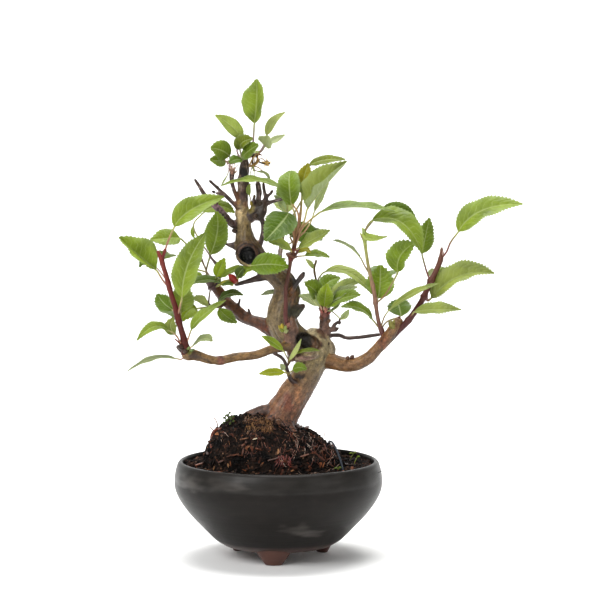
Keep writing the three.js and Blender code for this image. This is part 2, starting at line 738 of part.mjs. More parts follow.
    leaves: [
      [[[7.8, -17.2, 142]], [[3.8, -20, 149.3], [-3, -24, 156.8], [-12, -27, 160.3]],
        9, 56, -20, 14, 0],
      [[[8, -17.6, 143]], [[9.4, -19, 145], [13.6, -22, 151], [16.6, -24, 157.8]], 6, 78, 0, 12, 0],
      [[[8, -17.6, 143]], [[11.6, -19, 147], [21, -23, 150.6], [31, -26, 149.3]], 8, 36, 0, 14, 0],
    ],
  },
  {
    name: "sprouts_twig",
    stems: [
      [
        [8.2, -13.4, 131, 1.5],
        [7.6, -15.6, 131.8, 1.7],
        [7.2, -17.4, 133, 1.5],
      ],
    ],
    leaves: [
      [[[7.3, -17, 132.6]], [[4, -19, 134.4], [-5, -23, 134.4], [-13.6, -26, 132.6]], 8, 52, 0, 14, 0],
      [[[7.3, -17, 132.6]], [[10.4, -18, 134], [15, -21, 137.3], [20.3, -24, 136.6]], 9, 56, 0, 12, 0],
      [[[7.2, -17.2, 132.8]], [[4.6, -18, 135.5], [3, -19, 138], [1.6, -20, 140]], 4, 66, 0, 12, 0],
    ],
  },
  {
    name: "shoot_back",
    stems: [
      [
        [-2, 7, 207, 4],
        [-1, 14, 211, 3.8],
        [1, 26, 218, 3.4],
        [2, 38, 226, 3],
        [4, 46, 236, 2.6],
        [5, 50, 246, 2],
      ],
    ],
    leaves: [
      [[[1.5, 32, 222], [8, 36, 227]], [[14, 38, 231], [24, 42, 234], [32, 46, 230]],
        21, 34, 20, 14, 0],
      [[[2, 38, 226], [-4, 42, 230]], [[-8, 44, 234], [-16, 50, 238], [-26, 54, 236]],
        21, 28, -20, 14, 0],
      [[[4, 46, 236], [9, 48, 242]], [[14, 48, 247], [20, 50, 256], [24, 54, 264]], 20, 40, 20, 14, 0],
      [[[4.5, 48, 241], [0, 54, 246]], [[-3, 58, 250], [-5, 68, 256], [-6, 80, 258]], 21, 24, 0, 14, 0],
      [[[5, 50, 246], [6, 49, 250]], [[7, 48, 255], [6, 50, 264], [4, 56, 274]], 16, 62, 0, 16, 0],
      [[[1, 26, 218], [3, 36, 214]], [[4, 42, 214], [6, 56, 216], [9, 72, 210]], 21, 12, 0, 14, 0],
    ],
  },
];

// Turns a layout point into its true place.
function at([x, y, z]) {
  return new THREE.Vector3(
    x + ((x - EYE.x) * y) / EYE.away,
    y,
    z + ((z - EYE.z) * y) / EYE.away,
  );
}

// A repeatable random number from 0 to 1.
function random(seed) {
  let state = seed;
  return () => {
    state = (state * 1664525 + 1013904223) % 4294967296;
    return state / 4294967296;
  };
}

// A closed solid from a list of places and a list of triangles, with its faces turned outwards.
function solidFrom(places, triangles) {
  const flat = places.flatMap((p) => [p.x, p.y, p.z]);
  const shape = new THREE.BufferGeometry();
  shape.setAttribute("position", new THREE.Float32BufferAttribute(flat, 3));
  shape.setIndex(triangles.flat());
  return solidOf(shape);
}

function solidOf(geometry) {
  const bare = geometry.clone();
  bare.deleteAttribute("normal");
  bare.deleteAttribute("uv");
  const merged = mergeVertices(bare, 1e-4);
  const corners = Array.from(merged.index.array);
  const kept = corners.filter((_, i) => {
    const [a, b, c] = corners.slice(i - (i % 3), i - (i % 3) + 3);
    return a !== b && b !== c && c !== a;
  });
  const triVerts = new Uint32Array(kept);
  const made = () =>
    new wasm.Manifold(
      new wasm.Mesh({ numProp: 3, vertProperties: merged.attributes.position.array, triVerts }),
    );
  if (made().volume() > 0) return made();
  for (let i = 0; i < triVerts.length; i += 3) {
    [triVerts[i + 1], triVerts[i + 2]] = [triVerts[i + 2], triVerts[i + 1]];
  }
  return made();
}

// Joins solids and keeps the one body that they make.
function fuse(solids) {
  const whole = solids.reduce((sum, next) => sum.add(next)).simplify(0.02);
  return whole.decompose().sort((a, b) => b.volume() - a.volume())[0];
}

// A round limb through [x, y, z, diameter] points, closed at both ends. grow widens it and lengthens
// its foot, which gives the hole that it stands in.
function limb(points, sides, { lump = 0, grow = 0, seed = SEED } = {}) {
  const line = new THREE.CatmullRomCurve3(points.map(at));
  const count = points.length - 1;
  const chance = random(seed);
  const phase = [chance() * 2 * Math.PI, chance() * 2 * Math.PI, chance() * 2 * Math.PI];
  const places = [];
  let side = new THREE.Vector3(1, 0, 0);
  for (let i = 0; i <= count; i += 1) {
    const along = i / count;
    const centre = line.getPoint(along);
    const tangent = line.getTangent(along);
    if (i === 0) centre.addScaledVector(tangent, -grow);
    if (i === count) centre.addScaledVector(tangent, grow);
    side.addScaledVector(tangent, -side.dot(tangent));
    if (side.length() < 0.2) side = new THREE.Vector3(0, 1, 0).addScaledVector(tangent, -tangent.y);
    side.normalize();
    const across = new THREE.Vector3().crossVectors(tangent, side);
    const radius = points[i][3] / 2 + grow;
    for (let j = 0; j < sides; j += 1) {
      const turn = (j / sides) * 2 * Math.PI;
      const rough =
        Math.sin(3 * turn + phase[0] + i * 0.9) * 0.5 +
        Math.sin(5 * turn + phase[1] - i * 1.3) * 0.3 +
        Math.sin(2 * turn + phase[2] + i * 0.4) * 0.4;
      const r = radius * (1 + lump * rough);
      places.push(
        centre
          .clone()
          .addScaledVector(side, r * Math.cos(turn))
          .addScaledVector(across, r * Math.sin(turn)),
      );
    }
  }
  const triangles = [];
  for (let i = 0; i < count; i += 1) {
    for (let j = 0; j < sides; j += 1) {
      const a = i * sides + j;
      const b = i * sides + ((j + 1) % sides);
      triangles.push([a, b, b + sides], [a, b + sides, a + sides]);
    }
  }
  const last = count * sides;
  for (let j = 1; j < sides - 1; j += 1) {
    triangles.push([0, j + 1, j], [last, last + j, last + j + 1]);
  }
  return solidFrom(places, triangles);
}

// Half the width of a leaf at t from base 0 to tip 1, where its widest is 1.
function outline(t) {
  const point = Math.max(0, (t - 0.72) / 0.28);
  return Math.sin(Math.PI * t ** 0.82) ** 0.72 * (1 - 0.3 * point * point);
}

// A leaf in one body: its stalk, then its blade, which is a folded, arched and toothed slab. Each station
// holds left, rib and right, each with its upper place and then its lower one, and both faces are split
// alike. The stalk's two places at a side fall together, and so do left, rib and right at the tip.
function leaf([stalk, rib, width, tilt, turn, fold, twist]) {
  const [base, middle, tip] = rib.map(at);
  const length = base.distanceTo(middle) + middle.distanceTo(tip);
  const count = THREE.MathUtils.clamp(Math.round(length / LEAF.step), 3, 6);
  const facing = direction(tilt, turn);
  const stations = [];
  for (let i = 0; i <= count; i += 1) {
    const t = i / count;
    const centre = new THREE.Vector3()
      .addScaledVector(base, (1 - t) * (1 - 2 * t))
      .addScaledVector(middle, 4 * t * (1 - t))
      .addScaledVector(tip, t * (2 * t - 1));
    const tangent = new THREE.Vector3()
      .addScaledVector(base, 4 * t - 3)
      .addScaledVector(middle, 4 - 8 * t)
      .addScaledVector(tip, 4 * t - 1)
      .normalize();
    const up = square(facing, tangent).applyAxisAngle(tangent, radians(twist * (t - 0.5)));
    const tooth = i % 2 ? 1 + LEAF.tooth : 1 - LEAF.tooth;
    const half = i === count ? 0 : Math.max((width / 2) * outline(t) * tooth, LEAF.base);
    const wave = LEAF.wave * Math.sin(i * 2.1) * (half / width);
    stations.push({
      centre,
      tangent,
      up,
      out: half * Math.cos(radians(fold)),
      lift: half * Math.sin(radians(fold)) + wave,
      thick: LEAF.thick / Math.cos(radians(fold)),
    });
  }
  let { up, centre: next } = stations[0];
  const foot = stalk.map(at);
  for (let i = foot.length - 1; i >= 0; i -= 1) {
    const tangent = next.clone().sub(i ? foot[i - 1] : foot[i]).normalize();
    up = square(up, tangent);
    stations.unshift({ centre: foot[i], tangent, up, out: LEAF.stalk / 2, lift: 0, thick: LEAF.stalk });
    next = foot[i];
  }
  return slab(stations);
}

function radians(degrees) {
  return THREE.MathUtils.degToRad(degrees);
}

// The direction that leans from straight up towards the front by tilt, swung to the right by turn.
function direction(tilt, turn) {
  const level = Math.sin(radians(tilt));
  return new THREE.Vector3(
    level * Math.sin(radians(turn)),
    -level * Math.cos(radians(turn)),
    Math.cos(radians(tilt)),
  );
}

// The part of a direction that is square to a tangent.
function square(vector, tangent) {
  return vector.clone().addScaledVector(tangent, -vector.dot(tangent)).normalize();
}

function slab(stations) {
  const places = [];
  for (const { centre, tangent, up, out, lift, thick } of stations) {
    const across = new THREE.Vector3().crossVectors(tangent, up);
    for (const side of [-1, 0, 1]) {
      const depth = side && thick === LEAF.stalk ? 0 : thick / 2;
      const rise = side ? lift : 0;
      const spot = centre.clone().addScaledVector(across, side * out).addScaledVector(up, rise);
      places.push(spot.clone().addScaledVector(up, depth), spot.clone().addScaledVector(up, -depth));
    }
  }
  const end = (stations.length - 1) * 6;
  const triangles = [[0, 1, 3], [0, 3, 2], [2, 3, 5], [2, 5, 4]];
  triangles.push([end, end + 3, end + 1], [end, end + 2, end + 3]);
  triangles.push([end + 2, end + 5, end + 3], [end + 2, end + 4, end + 5]);
  for (let k = 0; k < end; k += 6) {
    triangles.push([k, k + 2, k + 8], [k, k + 8, k + 6], [k + 1, k + 9, k + 3], [k + 1, k + 7, k + 9]);
    triangles.push([k + 4, k + 8, k + 2], [k + 4, k + 10, k + 8]);
    triangles.push([k + 5, k + 3, k + 9], [k + 5, k + 9, k + 11]);
    triangles.push([k, k + 6, k + 7], [k, k + 7, k + 1], [k + 4, k + 5, k + 11], [k + 4, k + 11, k + 10]);
  }
  return solidFrom(places, triangles);
}

const pieces = SHOOTS.map((shoot) => {
  const stems = shoot.stems.map((stem) => limb(stem, STEM_SIDES));
  return {
    name: shoot.name,
    solid: fuse([...stems, ...shoot.leaves.flatMap(leaf)]),
    socket: limb(shoot.stems[0], STEM_SIDES, { grow: GAP }),
  };
});

function tree() {
  const wood = [
    limb(TRUNK, BARK.sides, { lump: BARK.lump }),
    limb(LEADER, BARK.sides, { lump: BARK.lump, seed: BARK.leaderSeed }),
    limb(KNOB, BARK.branchSides, { lump: BARK.lump }),
    limb(LIP, BARK.branchSides, { lump: BARK.lump }),
    limb(STUB, BARK.branchSides, { lump: BARK.lump }),
    ...BRANCHES.map((branch, i) => limb(branch, BARK.branchSides, { lump: BARK.lump, seed: i })),
    ...TWIGS.map((twig) => limb(twig, BARK.twigSides)),
    ...ROOTS.map((root, i) => limb(root, BARK.twigSides, { lump: BARK.lump, seed: i })),
    scarRim(),
  ];
  const hollow = ball(HOLLOW.at, HOLLOW.size, HOLLOW.tilt);
  const scar = ball(SCAR.at, SCAR.size, 0);
  const cuts = [hollow, scar, ...pieces.map((piece) => piece.socket)];
  return fuse([cuts.reduce((rest, cut) => rest.subtract(cut), fuse(wood))]);
}

function scarRim() {
  const ring = new THREE.TorusGeometry(SCAR.rim, SCAR.rimThick, 5, 12);
  ring.rotateX(Math.PI / 2).translate(...at([SCAR.at[0], -7, SCAR.at[2] + 0.6]).toArray());
  return solidOf(ring);
}

function ball(place, size, tilt) {
  const round = new THREE.IcosahedronGeometry(1, 1).scale(...size);
  round.rotateY(THREE.MathUtils.degToRad(tilt)).translate(...at(place).toArray());
  return solidOf(round);
}

// The pot is fired in one piece with its three feet.
function pot() {
  const floor = POT.inside[0][1];
  const under = POT.outside[0][1];
  const hole = [[POT.drainRadius, floor], [POT.drainRadius, under]];
  const profile = [...hole, ...POT.outside, ...[...POT.inside].reverse(), hole[0]];
  const bowl = new THREE.LatheGeometry(profile.map(([r, z]) => new THREE.Vector2(r, z)), POT.sides);
  bowl.rotateX(Math.PI / 2);
  const feet = [0, 120, 240].map((step) => {
    const height = under + FOOT.sunk;
    const foot = new THREE.CylinderGeometry(FOOT.topRadius, FOOT.bottomRadius, height, FOOT.sides);
    foot.rotateX(Math.PI / 2).scale(1, FOOT.depth, 1).translate(0, -FOOT.at, height / 2);
    return solidOf(foot.rotateZ(radians(step + FOOT.turn + 90)));
  });
  return fuse([solidOf(bowl), ...feet]);
}

// A square of plastic mesh on the floor, over the drain hole.
function screen() {
  const height = POT.inside[0][1] + GAP + SCREEN.thick / 2;
  const square = new THREE.BoxGeometry(SCREEN.size, SCREEN.size, SCREEN.thick);
  let sheet = solidOf(square.translate(0, 0, height));
  for (let i = 0; i < SCREEN.count ** 2; i += 1) {
    const x = ((i % SCREEN.count) - (SCREEN.count - 1) / 2) * SCREEN.pitch;
    const y = (Math.floor(i / SCREEN.count) - (SCREEN.count - 1) / 2) * SCREEN.pitch;
    const opening = new THREE.BoxGeometry(SCREEN.hole, SCREEN.hole, 2 * SCREEN.thick);
    sheet = sheet.subtract(solidOf(opening.translate(x, y, height)));
  }
  return sheet;
}

// The height of the soil: a flat filling along the rim and the root ball's mound in the middle.
function soilHeight(x, y) {
  const reach = x < SOIL.moundX ? SOIL.moundLeft : SOIL.moundRight;
  const away = Math.hypot((x - SOIL.moundX) / reach, y / SOIL.moundDeep);
  const side = x < SOIL.crestX ? (SOIL.crestX - x) * SOIL.fallLeft : (x - SOIL.crestX) * SOIL.fallRight;
  const crest = SOIL.top - side - Math.abs(y) * SOIL.fallDeep;
  const body = away < 1 ? (1 - away ** 4) ** 0.6 : 0;
  const rough =
    Math.sin(x * 0.31 + y * 0.17) + Math.sin(y * 0.43 - x * 0.11 + 1) + Math.sin((x + y) * 0.23 + 2);
  return SOIL.level + (crest - SOIL.level) * body + (rough * SOIL.lump) / 2;
}

// Bark chips and lumps that lie half sunk in the surface.
function chips() {
  const chance = random(SEED);
  return Array.from({ length: CHIP.count }, () => {
    const turn = chance() * 2 * Math.PI;
    const away = CHIP_PLACE.near + CHIP_PLACE.spread * Math.sqrt(chance());
    const [x, y] = [away * Math.cos(turn), away * Math.sin(turn)];
    const long = CHIP.long + CHIP.longMore * chance();
    const wide = CHIP.wide + CHIP.wideMore * chance();
    const chip = new THREE.BoxGeometry(long, wide, CHIP.thick);
    chip.rotateY((chance() - 0.5) * CHIP.lean).rotateX((chance() - 0.5) * CHIP.lean);
    chip.rotateZ(chance() * Math.PI).translate(x, y, soilHeight(x, y) + CHIP.up);
    return solidOf(chip);
  });
}

// The soil fills the pot, with plain holes for what stands in it.
function soil(holes) {
  const wall = POT.inside.map(([r, z]) => [r - GAP, z + GAP]).slice(0, -1);
  const places = [new THREE.Vector3(0, 0, POT.inside[0][1] + GAP)];
  const ring = (radius, height) => {
    for (let j = 0; j < POT.sides; j += 1) {
      const turn = (j / POT.sides) * 2 * Math.PI;
      const [x, y] = [radius * Math.cos(turn), radius * Math.sin(turn)];
      places.push(new THREE.Vector3(...height(x, y)));
    }
  };
  for (const [r, z] of wall) ring(r, (x, y) => [x, y, z]);
  const edge = POT.inside[POT.inside.length - 1][0] - GAP;
  for (let i = SOIL.rings; i > 0; i -= 1) {
    const part = i / SOIL.rings;
    ring(edge * part, (x, y) => {
      const moved = x + SOIL.moundX * (1 - part);
      return [moved, y, soilHeight(moved, y)];
    });
  }
  places.push(new THREE.Vector3(SOIL.moundX, 0, soilHeight(SOIL.moundX, 0)));
  const rings = wall.length + SOIL.rings;
  const top = places.length - 1;
  const triangles = [];
  for (let j = 0; j < POT.sides; j += 1) {
    const next = (j + 1) % POT.sides;
    triangles.push([0, 1 + next, 1 + j]);
    for (let i = 0; i < rings - 1; i += 1) {
      const low = 1 + i * POT.sides;
      const high = low + POT.sides;
      triangles.push([low + j, low + next, high + next], [low + j, high + next, high + j]);
    }
    const crown = 1 + (rings - 1) * POT.sides;
    triangles.push([crown + j, crown + next, top]);
  }
  const filling = fuse([solidFrom(places, triangles), ...chips()]);
  return fuse([holes.reduce((rest, hole) => rest.subtract(hole), filling)]);
}

function holesInSoil() {
  const room = new THREE.BoxGeometry(
    SCREEN.size + 2 * GAP,
    SCREEN.size + 2 * GAP,
    SCREEN.thick * 2 + 4 * GAP,
  );
  return [
    limb(TRUNK, BARK.sides, { lump: BARK.lump, grow: GAP }),
    ...ROOTS.map((root, i) => limb(root, BARK.twigSides, { lump: BARK.lump, seed: i, grow: GAP })),
    limb(TIE_WIRE, WIRE_SIDES, { grow: GAP }),
    solidOf(room.translate(0, 0, POT.inside[0][1])),
  ];
}

// One named piece of the bonsai.
function piece(name, solid, colour, roughness) {
  const mesh = solid.getMesh();
  const shape = new THREE.BufferGeometry();
  shape.setAttribute("position", new THREE.BufferAttribute(new Float32Array(mesh.vertProperties), 3));
  shape.setIndex(new THREE.BufferAttribute(new Uint32Array(mesh.triVerts), 1));
  shape.computeVertexNormals();
  const made = new THREE.Mesh(shape, new THREE.MeshStandardMaterial({ color: colour, roughness }));
  made.name = name;
  return made;
}

const bonsai = new THREE.Group();
bonsai.add(piece("pot", pot(), COLOUR.pot, 0.55));
bonsai.add(piece("drain_screen", screen(), COLOUR.screen, 0.7));
bonsai.add(piece("soil", soil(holesInSoil()), COLOUR.soil, 0.95));
bonsai.add(piece("tie_wire", limb(TIE_WIRE, WIRE_SIDES), COLOUR.wire, 0.5));
bonsai.add(piece("tree", tree(), COLOUR.bark, 0.85));
for (const { name, solid } of pieces) bonsai.add(piece(name, solid, COLOUR.leaf, 0.6));

// The origin is under the middle of the whole bonsai's box, on the ground.
const box = new THREE.Box3().setFromObject(bonsai);
const middle = box.getCenter(new THREE.Vector3());
bonsai.position.set(-middle.x, -middle.y, -box.min.z);

export default bonsai;
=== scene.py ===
"""An apple bonsai in spring leaf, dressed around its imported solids.

The plant is laid out in millimetres as it is seen from the front: a point (x, y, z) gives where it shows
in the upright plane through the pot's axis, and y is how far it lies behind that plane. true_place()
turns such a point into its place in the row frame.
"""

import json
import math
import random
from functools import partial

import bpy
import numpy as np
from bpy.props import BoolProperty, FloatProperty, FloatVectorProperty, IntProperty, PointerProperty
from bpy.types import Operator, Panel, PropertyGroup
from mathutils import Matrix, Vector, noise

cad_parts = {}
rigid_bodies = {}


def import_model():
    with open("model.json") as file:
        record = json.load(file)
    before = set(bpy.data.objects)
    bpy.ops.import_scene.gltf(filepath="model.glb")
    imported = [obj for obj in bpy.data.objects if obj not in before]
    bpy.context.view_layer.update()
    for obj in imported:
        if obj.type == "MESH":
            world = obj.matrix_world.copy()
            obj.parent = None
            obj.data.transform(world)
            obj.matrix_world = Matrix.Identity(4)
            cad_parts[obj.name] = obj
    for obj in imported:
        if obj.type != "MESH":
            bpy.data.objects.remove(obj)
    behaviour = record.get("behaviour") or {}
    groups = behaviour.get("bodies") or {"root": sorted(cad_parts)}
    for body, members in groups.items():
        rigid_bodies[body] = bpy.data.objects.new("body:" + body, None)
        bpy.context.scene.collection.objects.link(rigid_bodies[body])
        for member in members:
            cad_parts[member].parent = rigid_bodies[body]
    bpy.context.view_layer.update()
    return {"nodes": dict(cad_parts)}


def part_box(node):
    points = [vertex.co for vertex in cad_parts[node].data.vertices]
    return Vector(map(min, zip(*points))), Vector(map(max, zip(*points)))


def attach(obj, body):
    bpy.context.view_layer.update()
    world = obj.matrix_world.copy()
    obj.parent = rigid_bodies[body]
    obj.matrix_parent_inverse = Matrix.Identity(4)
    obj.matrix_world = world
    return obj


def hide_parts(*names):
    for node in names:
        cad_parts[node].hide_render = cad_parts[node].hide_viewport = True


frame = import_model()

bl_info = {
    "name": "Apple bonsai",
    "version": (1, 0, 0),
    "blender": (4, 5, 0),
    "location": "View3D > Sidebar > Bonsai",
    "description": "Builds the looks of a potted apple bonsai around its packed solids",
    "category": "Add Mesh",
}

POT_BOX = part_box("pot")
# The middle of the pot and the place under it on the ground, in millimetres
POT_AXIS = (np.array(POT_BOX[0]) + np.array(POT_BOX[1])) / 2 * 1000
POT_FOOT = POT_AXIS * np.array([1, 1, 0])
# The camera's place from the pot's axis in millimetres, its focal length and the picture's width in pixels,
# and how many degrees it looks down
EYE_X, EYE_Z, EYE_AWAY = 15.7, 282.0, 1400.0
FOCAL_PIXELS, PICTURE_PIXELS, LOOKS_DOWN = 1941, 600, 3.9
MM = 0.001

# The kinds of node that the materials use most, and the settings of their mixes
NOISE, RAMP, RANGE = "ShaderNodeTexNoise", "ShaderNodeValToRGB", "ShaderNodeMapRange"
MATH, MIX, ATTRIBUTE = "ShaderNodeMath", "ShaderNodeMix", "ShaderNodeAttribute"
OUTPUT, DRAW = "ShaderNodeOutputMaterial", "FunctionNodeRandomValue"
MIXED = {"data_type": "RGBA", "blend_type": "MIX"}
OVERLAID = {"data_type": "RGBA", "blend_type": "OVERLAY"}

# The pot's wall as (radius, height) points, its drain hole, and how far out its feet stand, how deep they
# are for their width, and how far round they are turned
POT_OUTSIDE = [
    (40, 9.5), (47, 14), (56.4, 23.4), (64.4, 32), (71, 41), (74.8, 49), (75.5, 56), (74.9, 62), (73, 68.4),
    (71.2, 70),
]
POT_INSIDE = [(38, 15), (47, 19.5), (60, 34.5), (67.4, 44.5), (70.2, 56), (69.4, 68)]
DRAIN_RADIUS = 6.0
FOOT_AT, FOOT_DEPTH, FOOT_TURN = 35.0, 0.62, -5.0
# Clouds of painted sheen on the slip as seen from the front, a painted reflection low on the front and
# painted highlights along the band on the left: x, z, half width, half height
SHEEN_CLOUDS = [(14, 30, 13, 5), (24, 25, 9, 3), (-34, 62, 15, 4.4), (-62, 60, 12, 6)]

# The limbs of the wood from foot to tip, as (x, y, z, diameter) layout points
TRUNK = [(-4, 0, 66, 30), (-3, 0, 80, 29), (-1.5, 0, 92, 27.5), (2.5, 0, 103, 25), (8, 0, 112.5, 23.5),
 (13, 0, 120.5, 22), (18, 1, 128, 21), (22, 2, 136, 21.5), (24.5, 3, 145, 25), (25.5, 4, 153, 25),
 (25, 5, 160, 17)]
LEADER = [(24, 3, 150, 19), (16, 1, 155, 21), (8, 0, 161.5, 22), (3, 0, 169, 22.5),
 (2.5, 0, 177, 21.5), (4.7, 0, 185, 20.3), (6.5, 0, 192, 19.5), (4, 0, 199.5, 17.5),
 (-3, 0, 206, 15.5), (-10.5, 0.5, 212, 15.5), (-17, 1, 217.5, 18), (-21.5, 1, 223.5, 19),
 (-24, 1.5, 230.5, 15), (-24.8, 2, 237, 12.3), (-25.4, 2.5, 244, 10.8), (-25.9, 3, 250, 10.2),
 (-26, 4, 255, 8.8), (-25.8, 4, 260, 9.2), (-25.6, 4, 265, 8), (-25.2, 5, 270, 8.4), (-25, 5, 276, 7.4),
 (-24.6, 5, 281, 7.8), (-23.8, 5, 286, 6.4)]
KNOB = [(36.5, 3, 146.5, 9), (36, 4, 151.6, 11), (32, 5, 156.8, 8.6), (25, 4, 159.8, 7.4), (17, 2, 161, 8)]
LIP = [(13, -9.6, 143.4, 3), (18, -10.8, 143.9, 3.8), (24, -10.8, 144.8, 3.6), (28.5, -9.4, 146.2, 2.8)]
STUB = [(11, -2, 145, 8), (10.5, -7, 152, 10.5), (9.5, -9, 160, 11), (9.5, -9.5, 167, 9.5),
 (10, -9, 172.5, 6)]
BRANCHES = [
    # right
    [(27, 2, 147, 13), (35, 1, 143, 12), (42, 0, 141, 11), (50, -1, 139.5, 10.7), (58, -2, 140.3, 10),
     (65, -3, 144.3, 9.3), (70, -4, 149, 8.6), (75, -5, 154.5, 8.6), (80, -7, 160, 9.2),
     (84.5, -8, 166, 9.2), (87, -9, 171.5, 7)],
    # left, upper
    [(2, 1, 161, 14), (-6, 3, 166.6, 12.4), (-13, 4, 169.5, 9.6), (-20, 6, 172, 8.6), (-26, 8, 175, 9),
     (-31, 9, 179.5, 9), (-36, 10, 184, 8.6), (-40, 12, 188.5, 8.4), (-43.6, 13, 194, 7.8)],
    # left, lower
    [(9, -9, 154, 8), (3, -12.5, 152.2, 7), (-4, -14, 151, 6.6), (-14, -15.8, 147.4, 6.5),
     (-22, -17.5, 145.9, 6.4), (-30, -19, 145.3, 6.4), (-38, -20, 143.5, 6.5), (-42, -21, 142.6, 7.2),
     (-46, -22, 142.8, 6.6), (-52, -23, 144, 6.8), (-58, -24, 146, 7.4), (-63, -25, 147, 8.2),
     (-67, -25.5, 146.6, 7.4)],
]
TWIGS = [
    # stubs on the end of the lower left branch
    [(-66, -25, 148, 5), (-70, -22.5, 150.6, 4.6), (-72.5, -20.5, 152.5, 3.6)],
    # short dead ends on the upper left branch
    [(-28.5, 8, 177, 2.6), (-28.8, 7.5, 182, 2), (-27.6, 7, 187.5, 1.6)],
    [(-20.3, 6, 174, 2.4), (-20.7, 5.5, 177.5, 2), (-21.7, 5, 180, 1.8)],
    # dark broken stub right of the leader
    [(6, -3, 174, 9), (11, -5.5, 177, 9.5), (15, -5, 180, 7), (18, -4, 182, 4)],
    # cut twig over the right shoulder of the leader
    [(6, -6, 189, 5.5), (8.5, -10, 191.5, 4.4), (12, -12, 197, 3.8), (17.8, -13, 205, 3.8)],
    # dead twig to the left under the large scar
    [(-8, -1, 204, 7), (-15, -2, 202.3, 5), (-20, -3, 200.7, 3.8), (-27, -4, 198.7, 3.2),
     (-31, -4.5, 197.6, 2.4)],
    # small side twig left of the scar
    [(-27, 0, 224.5, 7), (-31.5, -0.5, 226, 5.4), (-34.5, -0.8, 226.4, 3.6), (-37, 1, 227, 2.2),
     (-41, 5, 228.3, 1.6)],
    # knobbly twig up to the left, with a spur
    [(-26, 2, 240, 7), (-31, 2, 240.5, 6.4), (-35, 2, 243, 5.8), (-38.5, 1.5, 247.6, 4.8),
     (-42, 1, 251.5, 5.2), (-46, 0.5, 255, 5), (-49, 0, 258.5, 3.8), (-53, -0.5, 262.5, 3.2),
     (-59, -1, 272, 2.4)],
    [(-27, 3, 251, 4.4), (-31, 3, 255, 3.2), (-40, 1.5, 264, 2.6), (-48.5, 0.5, 271.7, 2.2)],
    [(-39, 1.6, 263, 2.2), (-42, 0, 263, 2.4), (-44.5, -1, 263.8, 2)],
    [(-26.5, 2, 252, 4.6), (-29.6, 1, 260, 3.2), (-32, 0, 267, 3), (-33.5, -0.5, 273, 3.2),
     (-33, -0.5, 279, 4)],
    # gnarled knot right of the top
    [(-24, 2, 244, 9), (-19, 1, 248, 8.5), (-15, 0, 252, 7.5), (-11.5, -0.5, 255.5, 5.4),
     (-9, -1, 259.5, 3.4), (-9.8, -1, 264, 2.6), (-10.5, -1, 269, 2.4)],
    [(-17, 0, 246.8, 6), (-13.4, -1, 247.6, 7.2), (-11.2, -1.5, 251.5, 6.8), (-10.4, -1.5, 255.4, 5.2)],
    [(-15, 1, 251, 6), (-14.5, 2, 258, 4.4), (-13.8, 2.5, 264, 4), (-14.6, 3, 270.5, 3.8)],
    [(-18, 0, 249, 4.4), (-18.2, -1, 254, 3.2), (-17.3, -1.5, 260.5, 2.3)],
    [(-11.5, -0.5, 254.5, 4), (-5, -2, 257.3, 3), (4.5, -4, 260, 2.3)],
    [(-10, -1, 257, 2.4), (-7.5, -2, 261.5, 2.2), (-5, -3, 264, 2.2)],
    [(-14, 0, 249, 5), (-11.3, -1, 243, 3.8), (-10.8, -1.5, 237, 3.5), (-12.2, -1.5, 230, 3.7),
     (-14, -1, 224, 4)],
    # twig in front of the lower trunk
    [(15, -6, 124, 5), (12.5, -9.5, 126.3, 4.2), (9, -12.5, 129, 3.3), (6.3, -14.5, 136, 2.9),
     (4.6, -15.5, 142, 2.7), (1.5, -16.5, 145.4, 2.6), (-2.5, -17, 147.4, 2.4)],
    # thin twig behind the right branch
    [(32, 8, 158, 6), (37, 11, 160.5, 3.6), (44, 12, 161, 3.1), (50, 11, 159, 2.9),
     (62, 9, 160, 2.8), (73.5, 6, 161.5, 2.6)],
    # spur on top of the knob, which holds the middle leaves
    [(32, 7, 155, 11), (33, 8, 161, 9.4), (33.4, 8, 168, 7.2), (33.5, 8, 173.5, 7.8), (33.5, 8, 178, 7.6)],
    # knobbly side spur on it
    [(35, 7, 164, 4), (39, 6, 165.2, 3.4), (40.6, 5.5, 168.6, 2.8), (44.6, 5, 171.4, 1.8)],
    [(38.5, 6, 165, 3.2), (41.6, 6, 164.4, 2.4), (43.4, 6, 166.4, 1.8)],
]
ROOTS = [
    [(-1, -1, 103, 17), (-8, -2, 105, 12), (-16, -2, 103.4, 10), (-24, -2, 99.8, 9),
     (-31, -3, 93.5, 7), (-35, -5, 86, 5)],
    [(2, -4, 98, 17), (8, -11, 92, 10), (13, -17, 85.5, 6.5), (16, -22, 78, 4.6)],
    [(-3, 3, 97, 17), (-6, 13, 97, 9), (-10, 22, 94.5, 6), (-15, 31, 88, 4)],
    [(2, 2, 96, 16), (13, 6, 92, 8), (23, 10, 87.5, 5), (31, 13, 81, 3.6)],
    [(-2, -5, 99, 13), (-7, -12, 97.5, 8), (-13, -18, 93, 6), (-17, -23, 87, 4.5)],
]
TIE_WIRE = [
    (35, -20, 80, 1.6), (36.8, -25, 83, 1.6), (38.8, -28.5, 83.2, 1.6), (41.5, -31, 79, 1.6),
    (44.5, -34, 71.5, 1.6), (47, -37, 63, 1.6), (48, -38, 58, 1.6),
]

# Ellipsoids cut from the wood: centre, half sizes and tilt
HOLLOW = ((22.2, -12, 156.2), (10, 12.5, 6.8), 24)
SCOOP = ((20.8, -17.5, 150.5), (11.5, 11, 7.2), 12)
SCAR = ((-22.3, -11.2, 218.8), (6, 7.4, 6.8), 0)
SCAR_RIM = ((-22.2, -6.6, 220), 6.8, 2.5)

